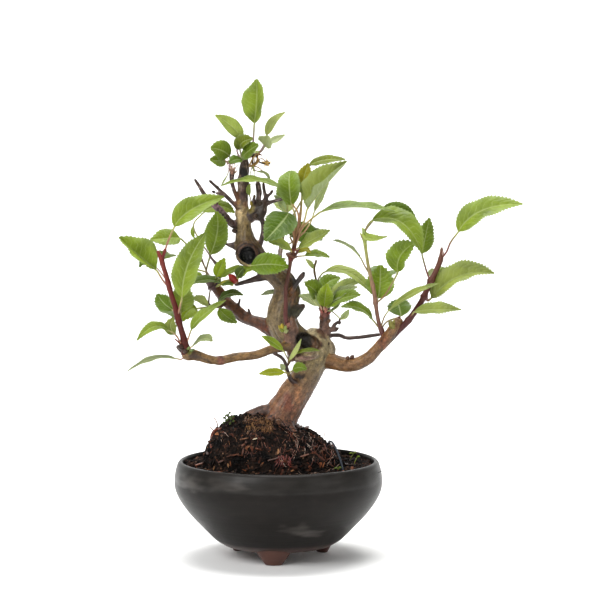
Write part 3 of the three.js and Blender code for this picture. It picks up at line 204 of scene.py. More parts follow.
# Bark by limb: dark in the cracks, main and light
BARKS = {
    "trunk": ("#3B2213", "#644831", "#806349"),
    "leader": ("#322616", "#5B4B30", "#786D4F"),
    "top": ("#231A10", "#57452D", "#806E49"),
    "knob": ("#4A3C2A", "#8C7E66", "#AA9C86"),
    "stub": ("#392721", "#64493B", "#7F6657"),
    "right": ("#34200F", "#66492C", "#94784E"),
    "left_upper": ("#271409", "#492A15", "#6A442A"),
    "left_lower": ("#412E1C", "#6D5333", "#856B47"),
    "twig": ("#1A1210", "#3C2C27", "#6E5B52"),
    "root": ("#1E130D", "#442E24", "#6A5244"),
}
# How the main colour of the bark changes with age along a limb: millimetres from its foot, colour. At the top
# of the leader it is painted shade under the leaves.
AGE_AND_SHADE = {
    "trunk": [
        (25, "#50321F"), (48, "#6E4C36"), (62, "#74593E"), (74, "#6A5A3E"),
        (86, "#85764F"), (94, "#948768"), (104, "#9A8E74"),
    ],
    "leader": [
        (10, "#64553A"), (36, "#665840"), (52, "#4C3B25"), (98, "#50402A"),
        # the last stop is painted shade under the leaves
        (120, "#8E7B54"), (131, "#5C4A3C"), (150, "#33291F"),
    ],
}
# Marks on the bark as it is seen from the front: x, z, half width, half height, colour, how deep. Most are
# the bark's own marks; one is a painted highlight and one is painted shade, as noted below.
MARKS = [
    (-33, 240, 4.5, 6, "#2B1F17", 0.5),
    (-14.5, 250.5, 7, 8, "#2A2017", 0.6),
    (-19.5, 252.5, 3.6, 3.6, "#66591A", -0.1),
    (82, 170.5, 2.8, 2.8, "#848F2C", -0.1),
    (-42, 143, 3, 4.6, "#6C4536", -0.3),
    (-60, 146.5, 5, 4, "#443325", 0.4),
    (-65, 149.5, 3, 2.4, "#4D4D18", -0.3),
    (11, 178, 7, 6, "#2D2A18", 0.5),
    (20, 144.4, 8, 1.9, "#86685C", -0.2),
    (-11, 166, 6, 4, "#502916", 0.0),
    (16, 131, 5, 2.5, "#31241A", 0.2),
    (31, 154, 1.3, 3.0, "#513E2E", 0.2),
    (36.5, 155, 0.9, 1.6, "#33271D", 0.3),
    (10.5, 192, 4.2, 9, "#5A3A1E", 0.1),
    (13, 199, 4, 7, "#241C1A", 0.1),
    (33.5, 178, 5, 4, "#6E4238", 0.2),
    (7, 112, 4, 9, "#6A3E2C", 0.1),
    (14, 118, 3, 8, "#8A6040", -0.1),
    # painted highlight on the left side of the leader
    (-28, 247, 2.2, 6, "#AA9670", -0.1),
    (-30, 262, 2.2, 9, "#5C3A26", 0.4),
    (-24.5, 264, 3, 8, "#463432", 0.4),
    (-28.5, 257, 2, 2, "#8E6C40", -0.1),
    (-29.4, 252.6, 2.6, 1.3, "#4A3622", 0.2),
    # painted shade under the leaves at the top of the leader
    (-25, 279, 4.2, 5.5, "#15110F", 0.3),
    (-26, 213.4, 5, 3.4, "#15100C", 0.0),
    (-23, 256, 3, 2.4, "#8E6E54", 0.2),
    (-34, 243, 5, 5.5, "#5C4446", 0.6),
    (-43, 252.5, 7, 6, "#6C5258", 0.4),
    (-39.4, 248.6, 1.2, 1.6, "#2E2024", 0.4),
    (-43.4, 252.2, 1, 1.8, "#34262A", 0.4),
    (-46.5, 257.5, 1.2, 1.6, "#2E2226", 0.4),
    (-29.8, 215.5, 2.6, 6, "#17120E", 0.2),
    (54, 142, 9, 1.5, "#84603C", 0.1),
    (76, 157, 4, 7, "#6A4026", 0.2),
    (33.5, 165, 6, 7, "#5E4438", 0.3),
]

# The tones that the leaves' upper sides have. A leaf's tone is partly its own colour and partly painted light
# and shade for how it is lit where it hangs.
TONES = {
    "b": "#858F47",
    "c": "#A0AE58",
    "f": "#77892B",
    "l": "#ACB476",
    "m": "#6C811B",
    "v": "#8A9D20",
    "d": "#4A6404",
    "k": "#354A04",
    "y": "#969C1C",
    "w": "#606A04",
    "o": "#A09822",
    "g": "#9AA27E",
    "s": "#7C8460",
    "t": "#6C8600",
    "n": "#5E7412",
    "e": "#405A04",
}
# Young stems from foot to tip, the leaf stalks on them, and how deeply the leaves are toothed
STEMS = {
    "shoot_front": (("#582C2C", "#4E3028", "#6E4A38"), "#A07A5A", 0.9),
    "shoot_right_inner": (("#4E2226", "#8A6A58", "#9AAE5A"), "#7E6A44", 1.2),
    "shoot_right_end": (("#3C1C1A", "#4E2620", "#5E3A2E"), "#6E403A", 1.6),
    "shoot_left_end": (("#451812", "#561C16", "#74302A"), "#98705A", 0.9),
    "spur_apex": (("#33251C", "#4E3E30", "#66583A"), "#8A7078", 0.35),
    "spur_left_upper": (("#4A3028", "#5A4648", "#6E5C5E"), "#7E6E56", 0.9),
    "bud_spur": (("#6A5A26", "#7A1C1A", "#8A2824"), "#8A8A4A", 0.8),
    "default": (("#3E2A1E", "#54402C", "#665836"), "#7A6A44", 1.0),
}
# Each leafy piece: its stems as (x, y, z, diameter) points, and its leaves as (stalk points, rib points at
# base, middle and tip, width, tilt, turn, fold, twist, tone). Tilt leans the upper side from straight up
# towards the front, turn swings that to the right, fold lifts the halves, and twist turns the blade.
SHOOTS = {}
SHOOTS["shoot_front"] = ([
    [(8.2, -10.5, 163, 3.4), (6.2, -14, 169, 3.3), (5.2, -15, 175, 3.2), (5.5, -14.5, 185, 3.1),
     (5.5, -14, 195, 3), (7, -14, 203, 2.9), (8.3, -14, 211, 2.8), (9.2, -14, 217, 3.4), (11, -14.5, 223, 2),
     (13.5, -15, 231, 1.5), (15, -15, 237, 1.1)],
    [(10.8, -14.5, 217, 1.8), (12.8, -15.5, 220, 1.8), (15.5, -16.5, 224, 1)],
], [
    ([(10.2, -15, 219), (14.8, -15, 236), (18.5, -16, 243)], [(21, -17, 252.8), (32.4, -20, 267.6),
     (49.8, -22, 286.5)], 28.5, 60, -53, 52, 10, "b"),
    ([(10.6, -14, 219), (14.6, -13, 231), (19, -9, 236), (23.5, -3, 243)], [(26, 1, 250.5), (30.5, 5, 260.5),
     (36.5, 8, 271)], 7, -40, 10, 10, 0, "c"),
    ([(9.9, -14, 219), (13.6, -13, 236), (16, -8, 252), (18, -3, 268)], [(22, 2, 283.6), (34, 2, 287.4),
     (48.5, -2, 287.8)], 9, 42, 0, 10, 0, "w"),
    ([(9.4, -15, 219), (11.6, -14, 232), (12.6, -13, 246)], [(9.6, -12, 254.6), (8, -15, 270), (9, -2, 280)],
     16.5, 80, -10, 16, 0, "n"),
    ([(10, -15, 219), (14.2, -13, 234), (16.6, -9, 250)], [(17, -7, 263), (18.3, -6, 274), (21.8, -6, 285.3)],
     12, 75, 15, 12, 0, "o"),
    ([(11.5, -14.5, 224), (10.8, -15, 236)], [(7.8, -14, 249.6), (1.2, -24, 240.8), (-9.8, -34, 229.2)], 22,
     72, -8, 10, 0, "e"),
    ([(11.5, -14.5, 224), (11, -10, 238)], [(6, -6, 250), (2, 0, 256), (-3, 6, 262)], 9, -50, 0, 10, 0, "f"),
    ([(9.5, -14, 218)], [(9.6, -17, 223), (1, -24, 227), (-7, -30, 228.5)], 12, 46, 0, 15, 0, "c"),
    ([(10.5, -14.5, 221)], [(14.5, -18, 224.5), (26, -24, 230.5), (37.5, -28, 237)], 12, 46, 10, 20, 0, "b"),
    ([(10, -14, 219)], [(14, -14, 220), (19, -13, 223), (23.5, -12, 220.5)], 6, 40, 0, 15, 0, "o"),
    ([(9.6, -14, 216.5), (13, -11, 218)], [(19, -9, 218.5), (28, -7, 219.5), (37.2, -6, 217.3)], 9, 32, 0, 15,
     0, "m"),
    ([(12, -14.5, 225)], [(8, -10, 233), (18, -3, 235), (28, 3, 234)], 16, 75, 0, 12, 0, "d"),
    ([(10.8, -15, 219), (15.4, -15, 235), (21, -16, 242.5)], [(31, -17, 250.7), (55, -20, 254),
     (84, -22, 250.5)], 17, 15, 0, 14, 0, "n"),
    ([(12, -14.5, 226), (14.6, -14, 247), (10.2, -13, 256)], [(5, -12, 266), (-18, -13, 273),
     (-42, -10, 268.5)], 14, 15, 0, 10, 0, "f"),
])
SHOOTS["shoot_right_inner"] = ([
    [(76, -5, 157.5, 3.4), (75, -6, 163.5, 3.3), (73, -7, 169, 3.1), (71.5, -7.5, 176, 3), (70.5, -8, 183, 3),
     (69.5, -8, 190, 3.2), (68, -8, 198, 2.8), (66, -8, 206, 2.7), (64.5, -8, 214, 2.5), (63.3, -8, 222, 2.4),
     (62.3, -8, 230, 2.4), (60.9, -8, 238.5, 1.4)],
    [(62.6, -8, 229, 2), (60.4, -7, 232.5, 1.8), (59.2, -6, 235, 1)],
], [
    ([(62.5, -8, 230), (62.8, -9, 236), (64.5, -10, 240.5)], [(67.5, -12, 244.3), (89, -20, 242),
     (103.6, -22, 220)], 22, 46, 25, 22, 0, "f"),
    ([(63.3, -8, 226)], [(62, -8.5, 237), (66, -11, 231), (79, -14, 232.5)], 7, 50, 0, 25, 0, "c"),
    ([(64.6, -8, 207.5), (62, -9, 212)], [(59.2, -10, 217.8), (50.5, -15, 225.6), (38.8, -20, 229.8)], 9, 24,
     -30, 14, 0, "s"),
    ([(70.6, -8, 184), (77, -10, 190), (82.5, -11, 199)], [(86.5, -12, 206.5), (88.5, -16, 218.5),
     (98.8, -20, 227.6)], 21, 80, -46, 20, 0, "m"),
    ([(70.4, -8, 185)], [(72, -4, 187.5), (73.6, 0, 199), (73.5, 3, 212)], 20, 84, 0, 10, 0, "m"),
    ([(75, -6, 163.5)], [(68.3, -9, 172.3), (58.5, -15, 180.5), (45.3, -19, 181.4)], 13, 34, -20, 12, 0, "m"),
    ([(74.4, -7, 167), (76.6, -13, 174)], [(80.5, -16, 180), (97, -22, 191), (116, -26, 198.6)], 8, 32, 0, 12,
     0, "b"),
    ([(74, -6.5, 165), (79, 4, 171)], [(89, 8, 174.5), (87.5, 14, 181), (86, 22, 187)], 17, 55, 0, 12, 0,
     "d"),
    ([(62.5, -8, 230), (63.2, -8, 237)], [(72, -6, 248), (88, -6, 252.5), (101, -8, 239)], 9, 70, 0, 12, 0,
     "d"),
    ([(68.3, -8, 197), (70, 4, 199)], [(72, 12, 201), (76, 30, 206.5), (83, 48, 205)], 21, 16, 10, 15, 0,
     "d"),
])
SHOOTS["shoot_right_end"] = ([
    [(83.5, -8, 161, 4.8), (87.5, -9.5, 165, 4.8), (92, -11, 169.3, 4.8), (98, -12, 176.8, 4.6),
     (104.6, -12.5, 187.3, 4.3), (107, -12.5, 193, 4.2), (110.7, -12, 201, 4), (113.2, -12, 206, 3.9),
     (117, -12, 215, 3.8), (117.8, -12, 222, 2.2)],
], [
    ([(117.3, -12, 216), (121.5, -13, 221.5), (124.5, -13, 228.5)], [(129.8, -14, 235.6), (147, -18, 251),
     (176.4, -22, 255.8)], 21, 42, -10, 14, -8, "f"),
    ([(105.3, -12.5, 189), (108, -10, 186)], [(110.5, -9, 187.5), (131, -16, 203.5), (156, -24, 205.6)], 21,
     46, -10, 30, -16, "b"),
    ([(105.5, -12.5, 189), (108.5, -6, 187)], [(110.8, -2, 188), (116, 3, 199), (119.5, 8, 210.5)], 11, 78, 0,
     12, 0, "m"),
    ([(94, -11.5, 172)], [(98.5, -16, 178.5), (115, -24, 179.4), (132.5, -26, 179.4)], 13, 36, -16, 20, -16,
     "b"),
    ([(110, -12, 199.5), (107.2, -8, 207)], [(103.6, -5, 219.8), (106, 0, 232), (109, 4, 246)], 12.5, 80, 18,
     12, 0, "n"),
    ([(111, -12, 201.5)], [(110, -8, 203), (110.5, -4, 206), (111.5, -2, 209.5)], 5, 70, 0, 12, 0, "g"),
    ([(110.5, -12, 200.5), (114, -3, 200)], [(118, 6, 200.5), (126, 24, 206), (137, 42, 205)], 20, 12, 10, 14,
     0, "m"),
])
SHOOTS["shoot_left_end"] = ([
    [(-66.5, -25.3, 146.5, 5.6), (-67.6, -26, 153, 5.6), (-68.6, -26.5, 159, 4.9), (-70.3, -27, 165, 4.4),
     (-72.6, -27.5, 173.5, 4.2), (-74.6, -28, 182, 3.9), (-77.8, -28.5, 192, 3.7), (-80.8, -29, 203.7, 3.5),
     (-82.6, -29, 209.5, 3.4), (-84.6, -29, 216, 3.2), (-86.8, -29, 221.5, 2.4)],
    [(-83.2, -29, 211, 2.8), (-83.4, -29, 216.5, 2.6), (-81.6, -29, 223, 2)],
    [(-67, -25.6, 149, 2.2), (-70, -27.4, 154, 1.5), (-74.5, -29.5, 158, 1.1)],
], [
    ([(-78.6, -28.6, 195), (-83.5, -27, 201)], [(-88, -25, 208.5), (-100.5, -22, 218), (-115.2, -20, 232)],
     29, 54, 16, 50, 8, "f"),
    ([(-81.8, -29, 222), (-79.5, -29, 229)], [(-75, -29, 239.3), (-62, -25, 252), (-38.8, -16, 261)], 18, 60,
     -10, 22, -10, "f"),
    ([(-72.8, -27.6, 174.5), (-71.3, -31, 181)], [(-69.5, -33, 188), (-65.2, -34, 212), (-52, -30, 235.5)],
     19, 80, -14, 14, 0, "f"),
    ([(-73.6, -27.8, 178)], [(-76, -24, 179), (-83, -20, 184.5), (-87.4, -17, 191)], 12, 66, 0, 12, 0, "d"),
    ([(-83.6, -29, 213)], [(-83, -22, 216), (-80, -14, 219.5), (-77, -6, 219)], 12, 52, 0, 10, 0, "m"),
    ([(-72, -27.4, 171)], [(-70.5, -23, 177), (-69.5, -20, 187), (-67, -18, 198.5)], 18, 82, 0, 16, 0, "f"),
    ([(-67.5, -26, 152.5), (-65.2, -28, 158.5)], [(-63.2, -29, 164.8), (-54, -27, 175.5),
     (-37.6, -16, 186.5)], 11, 52, -40, 16, 0, "f"),
    ([(-70.5, -28, 155), (-73.5, -31, 160), (-76.5, -32, 163)], [(-79, -33, 164), (-90, -39, 167),
     (-102.4, -43, 157)], 9, 36, 20, 16, 0, "f"),
    ([(-70.5, -28, 155)], [(-74, -28, 161.5), (-78, -27, 167), (-75.5, -27, 174)], 9, 80, 10, 12, 0, "b"),
    ([(-66.8, -25.6, 148.5)], [(-62.2, -30, 153.3), (-54, -36, 158.3), (-48, -40, 156.4)], 10, 32, 0, 14, 0,
     "s"),
    ([(-66.8, -25.3, 147.5), (-70, -28, 143.6)], [(-74.5, -30, 144.2), (-91, -34, 143.8),
     (-109.3, -37, 134.8)], 9, 13, 0, 10, 0, "s"),
    ([(-68.2, -26.4, 157), (-70, -10, 168)], [(-72, -2, 173), (-76, 14, 180), (-84, 30, 180)], 20, 24, -20,
     12, 0, "k"),
    ([(-79.5, -28.8, 199), (-86, -22, 208)], [(-93, -18, 214.5), (-97, -19, 214.8), (-100.2, -20, 210)], 5,
     60, 0, 12, 0, "d"),
])
SHOOTS["spur_left_upper"] = ([
    [(-43.2, 12.5, 190, 4.6), (-46.4, 12, 195.5, 4.6), (-49, 12, 199.5, 4), (-50, 12, 203, 2.4)],
    [(-43.5, 13, 195, 2.4), (-42.4, 12, 203, 2.2), (-44.4, 9, 211, 2), (-49.5, 5, 218.8, 1.7)],
], [
    ([(-49.5, 12, 201), (-52, 11, 207)], [(-49, 8, 219.3), (-43.8, 1, 236), (-44.6, -3, 250.5)], 18, 78, -8,
     16, 0, "m"),
    ([(-46, 12, 196)], [(-40, 9, 198), (-51, 3, 201), (-64.5, -5, 197.4)], 11, 30, 0, 14, 0, "d"),
    ([(-49, 12, 199.5)], [(-55, 14, 202), (-58.6, 17, 204.4), (-62.6, 20, 206)], 6, 55, 0, 12, 0, "m"),
    ([(-47.5, 12, 197.5), (-46, 8, 201)], [(-44.6, 6, 203), (-42, 4, 209.5), (-38.6, 2, 217)], 9, 78, 0, 14,
     0, "v"),
    ([(-47, 12, 197), (-45, 6, 199.5)], [(-42.5, 4, 202.5), (-34, -2, 207.4), (-24.4, -6, 211)], 8, 40, 0, 12,
     0, "f"),
    ([(-46.5, 12, 196)], [(-44.5, 8, 196.2), (-39, 2, 198.6), (-32.6, -2, 196.8)], 9, 28, 0, 14, 0, "o"),
    ([(-49.5, 12, 201), (-56, 5, 216)], [(-70.8, -7, 231.5), (-80, -12, 231), (-92.6, -16, 230)], 16, 50, 0,
     14, 0, "f"),
    ([(-47, 12, 197), (-43, 13, 210.5), (-49.5, 14, 219), (-61, 11, 239)], [(-54, 7, 249.8), (-42, 8, 254),
     (-31.4, 9, 249.4)], 10, 62, 0, 10, 0, "f"),
    ([(-49.5, 12, 201), (-57, 13, 222)], [(-60.2, 14, 231), (-61.8, 13, 235.5), (-61, 12, 240.5)], 3, 80, -20,
     8, 0, "f"),
    ([(-48.5, 12, 199), (-51, 24, 206)], [(-60, 32, 209), (-65, 46, 213), (-71, 60, 212)], 16, 26, -20, 14, 0,
     "y"),
])
SHOOTS["spur_left_under"] = ([
    [(-37.6, 9, 184.5, 3.6), (-43, 4.5, 182.5, 3.4), (-48.4, 3, 181.8, 2.4)],
    [(-48, 3, 182, 1.5), (-50.2, 3, 184, 1.4), (-49.8, 4, 190, 1.2), (-49.2, 5, 193.5, 1)],
], [
    ([(-47.5, 3, 182)], [(-50.5, 2, 182.2), (-56.5, -1, 185.7), (-62.3, -3, 187.8)], 9, 46, 0, 30, 0, "l"),
    ([(-48, 3, 181.9), (-54, 1, 181)], [(-58.8, -1, 180.4), (-65, -7, 178.4), (-70, -12, 171)], 15, 58, 0, 14,
     0, "v"),
    ([(-42, 5.5, 182.8)], [(-43, 2, 180.6), (-37.5, -3, 174.5), (-29.8, -7, 170)], 10, 52, 0, 12, 0, "m"),
    ([(-43, 4.5, 182.5)], [(-44, 0, 185), (-35.5, -5, 190.8), (-25.4, -8, 190)], 9, 36, 0, 12, 0, "k"),
])
SHOOTS["bud_spur"] = ([
    [(-29, -4.2, 198.2, 1.6), (-30.4, -5.5, 199.8, 3), (-32.2, -7, 201.6, 5), (-33.6, -8, 203, 5.2),
     (-35.2, -9, 204.6, 2.2)],
], [
    ([(-31, -6, 200.5)], [(-29.6, -9, 202.8), (-27.6, -12, 206.5), (-24.8, -15, 209.6)], 8, 62, 0, 12, 0,
     "k"),
    ([(-31, -6, 200.5)], [(-28, -10, 203), (-23, -14, 208), (-17.4, -17, 208.6)], 8, 48, 0, 14, 0, "v"),
    ([(-31, -6, 200)], [(-32, -8, 198), (-36, -11, 198.4), (-40.5, -13, 196.8)], 5, 30, 0, 12, 0, "d"),
])
SHOOTS["leaf_trunk_left"] = ([
    [(-27.6, -4, 220.5, 2), (-29.8, -9, 218.6, 1.8), (-27, -14, 214.4, 1.8), (-22.5, -16, 211.6, 1.8)],
], [
    ([(-24, -15.5, 212.4)], [(-20.3, -17, 211), (-6, -20.5, 212.3), (7.3, -22, 210.3)], 17, 62, 0, 10, 0,
     "t"),
])
SHOOTS["spur_middle"] = ([
    [(33.4, 8, 171.5, 4.4), (33.6, 8, 178.5, 4.4), (32.8, 7.5, 183.5, 3.6), (31.6, 7, 188, 2.2)],
    [(31.4, 7.2, 186, 1.8), (28.4, 8, 197, 1.6), (26, 8, 208, 1.6), (27.4, 7, 215, 1.8)],
], [
    ([(32.4, 7.4, 184.5)], [(29.6, 3, 188.5), (25, -4, 194.5), (19, -10, 198)], 14, 62, -10, 16, 0, "m"),
    ([(33, 7.8, 181)], [(30, 4, 181.5), (23, -1, 187.3), (15, -5, 189.8)], 11, -36, 0, 10, 0, "l"),
    ([(32, 7.2, 186)], [(33, 12, 190), (35.5, 18, 198.6), (45, 24, 202.6)], 13, 58, 0, 12, 0, "n"),
    ([(33, 7.6, 182.5), (35, 9, 186)], [(37.5, 10, 189.8), (49, 10, 197), (61, 8, 200.2)], 11, 38, 0, 14, 0,
     "l"),
    ([(33.4, 7.8, 180.5)], [(36, 4, 184), (46, -2, 191.7), (57.2, -6, 195.8)], 11, 40, 0, 14, 0, "s"),
    ([(33.6, 8, 179.5)], [(35.4, 1, 181.5), (47, -8, 187.6), (59.6, -15, 190)], 15, 42, 0, 16, 0, "m"),
    ([(33.6, 8, 178.5)], [(37, 0, 178.8), (41.5, -6, 180.5), (45, -12, 184.3)], 7, 45, 0, 14, 0, "g"),
    ([(33, 7.6, 182)], [(33.2, 2, 181.6), (34, -4, 190), (35.4, -9, 198.4)], 12, 84, 0, 18, 0, "v"),
    ([(32, 7.2, 186), (28.6, 9, 199), (31, 10, 204.8)], [(34, 10, 207.4), (52, 8, 205.8), (67.6, 2, 190.6)],
     11, 34, 20, 14, 0, "b"),
    ([(26.4, 8, 206.5)], [(26, 7.6, 208.8), (23.2, 6, 212.8), (19.6, 5, 216)], 4, 50, 0, 10, 0, "l"),
    ([(33.6, 8, 178), (38.5, 5, 178.3), (43.5, 3, 174.2)], [(45, 2, 172.2), (48.2, -1, 175), (51, -4, 179.8)],
     5, -50, 0, 10, 0, "c"),
    ([(33, 7.8, 181), (31, 18, 188)], [(30, 26, 193), (28, 42, 199), (24, 58, 197)], 20, 22, -10, 14, 0, "b"),
])
SHOOTS["spur_apex"] = ([
    [(-24, 5, 279, 3.4), (-23.6, 5, 287, 3.2), (-22, 4.5, 290, 2.6), (-18.6, 5, 291.5, 1.8),
     (-14.6, 5.5, 291.5, 1.2)],
    [(-23, 5, 286.5, 3), (-27.5, 4, 287.5, 2.6), (-31.5, 3, 286, 2.4), (-35.5, 2, 285.5, 2)],
    [(-15.6, 5.4, 291.5, 1.6), (-14.4, 3, 287, 1.4), (-12, 1, 285.4, 1.4), (-9.6, 0, 285.3, 2.6),
     (-7.6, -0.5, 285.2, 4.6), (-6.2, -0.6, 285.2, 1.8)],
    [(-18, 5, 291.3, 1.8), (-18.4, 2, 285, 1.6), (-17.4, 0, 279.8, 1.4)],
], [
    ([(-20, 4.7, 291), (-18, 5, 300)], [(-17.2, 4, 313.6), (-15, 2, 330), (-15.5, 6, 345.5)], 23, 85, -36, 30,
     0, "f"),
    ([(-27, 4, 287.4), (-29.6, 4, 295)], [(-25.4, 3, 302.6), (-34, -1, 312), (-45.3, -5, 319.6)], 11.5, 62,
     -10, 18, 0, "c"),
    ([(-14.8, 5.4, 291.5), (-11, 7, 297)], [(-8.3, 8, 304.5), (-4.5, 4, 314), (5.3, 0, 321.8)], 7, 62, 15, 22,
     0, "l"),
    ([(-15.2, 5.5, 291.5), (-11.8, 4, 294)], [(-9.5, 3, 297.3), (-8, -3, 302), (-7.6, -8, 305.2)], 13, 66, 0,
     22, 0, "g"),
    ([(-14.8, 5.5, 291.5), (-11, 9, 295.5)], [(-8, 11, 298.5), (-2, 15, 302), (5, 18, 305.6)], 6, 48, 0, 12,
     0, "g"),
    ([(-25.5, 4.4, 287)], [(-27.6, 1, 294.8), (-25.5, -5, 300), (-18, -10, 302.6)], 12, 62, 10, 12, 0, "w"),
    ([(-24.5, 4.6, 286.8)], [(-26.5, -2, 289), (-20.5, -8, 294.3), (-14, -12, 298.3)], 13, 56, 0, 12, 0, "n"),
    ([(-34, 2.4, 285.6)], [(-34.8, -1, 290.2), (-41, -7, 294.4), (-48.8, -12, 296)], 15, 75, -8, 6, 0, "m"),
    ([(-35, 2.1, 285.5)], [(-37.5, 0, 287), (-43, -4, 286.8), (-49.3, -9, 288)], 10, 70, 0, 12, 0, "m"),
    ([(-25.5, 4.3, 287)], [(-26, -3.5, 287.6), (-30.5, -8, 287.6), (-35.2, -11, 285.2)], 9, 46, 0, 12, 0,
     "d"),
    ([(-17.6, 0.6, 280.6)], [(-15.6, -1, 279.3), (-9, -4, 277.6), (-6.2, -6, 272)], 3.4, 20, 0, 20, 0, "s"),
    ([(-34.8, -1, 285.6), (-35.6, -4, 280)], [(-36.6, -2, 276.4), (-39, -5, 272.6), (-41.2, -8, 268.6)], 1.4,
     60, 0, 10, 0, "g"),
    ([(-24, 5, 287), (-25, 12, 289)], [(-26, 18, 288.5), (-28, 30, 290.5), (-31, 42, 287.5)], 6, 24, -20, 14,
     0, "f"),
    ([(-21, 4.6, 290), (-20, 12, 289)], [(-19.5, 18, 291), (-18, 30, 293.5), (-17, 42, 290)], 13, 24, 20, 14,
     0, "f"),
    ([(-19.5, -2.2, 258), (-20, -1.5, 260)], [(-20.2, -1, 261.5), (-21.4, -1, 266), (-20, -1, 270.6)], 3.6,
     60, 0, 12, 0, "c"),
])
SHOOTS["sprouts_low"] = ([
    [(7.2, -15.2, 139.5, 1.6), (7.6, -16.8, 141, 1.8), (8.4, -18, 143.5, 1.8)],
], [
    ([(7.8, -17.2, 142)], [(3.8, -20, 149.8), (-4.3, -24, 156), (-12, -27, 160.3)], 6, 56, -20, 14, 0, "v"),
    ([(8, -17.6, 143)], [(7.5, -19, 142.4), (12.6, -22, 150), (16.6, -24, 158.4)], 3.4, 78, 0, 12, 0, "l"),
    ([(8, -17.6, 143)], [(12, -19, 147.4), (21, -23, 150), (30.4, -26, 149.6)], 4.2, 36, 0, 14, 0, "w"),
])
SHOOTS["sprouts_twig"] = ([
    [(8.2, -13.4, 131, 1.5), (7.6, -15.6, 131.8, 1.7), (7.2, -17.4, 133, 1.5)],
], [
    ([(7.3, -17, 132.6)], [(5, -19, 134), (-4.5, -23, 133.8), (-14, -26, 132.8)], 6.8, 52, 0, 14, 0, "y"),
    ([(7.3, -17, 132.6)], [(10, -18, 135.5), (15, -21, 137.3), (20.5, -24, 136)], 8, 56, 0, 12, 0, "n"),
    ([(7.2, -17.2, 132.8)], [(4.6, -18, 135.5), (3, -19, 138), (1.6, -20, 140)], 4, 66, 0, 12, 0, "g"),
])
SHOOTS["shoot_back"] = ([
    [(-2, 7, 207, 4), (-1, 14, 211, 3.8), (1, 26, 218, 3.4), (2, 38, 226, 3), (4, 46, 236, 2.6),
     (5, 50, 246, 2)],
], [
    ([(1.5, 32, 222), (8, 36, 227)], [(14, 38, 231), (24, 42, 234), (32, 46, 230)], 21, 34, 20, 14, 0, "k"),
    ([(2, 38, 226), (2, 43, 221)], [(0, 46, 217), (-6, 54, 213.5), (-13, 64, 211)], 14, 20, -20, 14, 0, "m"),
    ([(4, 46, 236), (12, 48, 250)], [(19, 50, 262), (26, 52, 268), (31, 56, 274)], 16, 40, 20, 14, 0, "f"),
    ([(4.5, 48, 241), (5, 54, 246)], [(6, 58, 249), (4, 68, 255), (0, 80, 257)], 15, 24, 0, 14, 0, "b"),
    ([(5, 50, 246), (6, 49, 250)], [(7, 48, 255), (6, 50, 264), (4, 56, 274)], 16, 62, 0, 16, 0, "m"),
    ([(1, 26, 218), (3, 36, 214)], [(1, 42, 213), (-3, 56, 214), (-6, 72, 209)], 16, 12, 0, 14, 0, "m"),
    ([(-2, 7, 207), (0, 9, 198)], [(1, 9, 191.6), (-5, 9, 192.2), (-12.6, 8, 190)], 5, 40, 0, 12, 0, "s"),
])
CHIP_TONES = ["#402216", "#4C2A1C", "#2E1810", "#5A3220", "#38201A"]
# Chips as they are seen from the front: x, z, length, width, turn, colour
FRONT_CHIPS = [
    (-55, 67, 10, 4, 10, "#6A4030"),
    (-33, 73, 9, 3, -20, "#5A3220"),
    (-25, 81, 6, 3, 60, "#5A3220"),
    (-25, 85, 6, 3, -35, "#74503A"),
    (-17, 85, 3, 2, 20, "#C9B79A"),
    (-40, 69, 8, 3, 35, "#402216"),
    (6, 76, 9, 3.2, -30, "#4C2A1C"),
    (17, 72, 10, 3, 15, "#5A3220"),
    (26, 79, 7, 2.6, -60, "#5F3624"),
    (-4, 70, 7, 3, 5, "#402216"),
    (36, 70, 8, 2.4, -12, "#4C2A1C"),
]
# Seedlings and stalks in the soil: x, z, height, lean, tone and number of leaves
SPROUTS = [
    (52, 70, 6, 2.5, "f", 2),
    (45, 62, 3, -1.5, "f", 2),
    (-37, 99, 5, 3, "f", 0),
    (-38, 97.5, 5.5, -0.5, "k", 4),
    (-36.4, 98, 7, 0.4, "k", 5),
    (-35, 97.5, 5, 1.4, "k", 4),
    (55, 67, 6, 2, "t", 1),
    (-44, 96, 7, -3, "f", 0),
    (-46, 90, 6, -4, "f", 0),
]
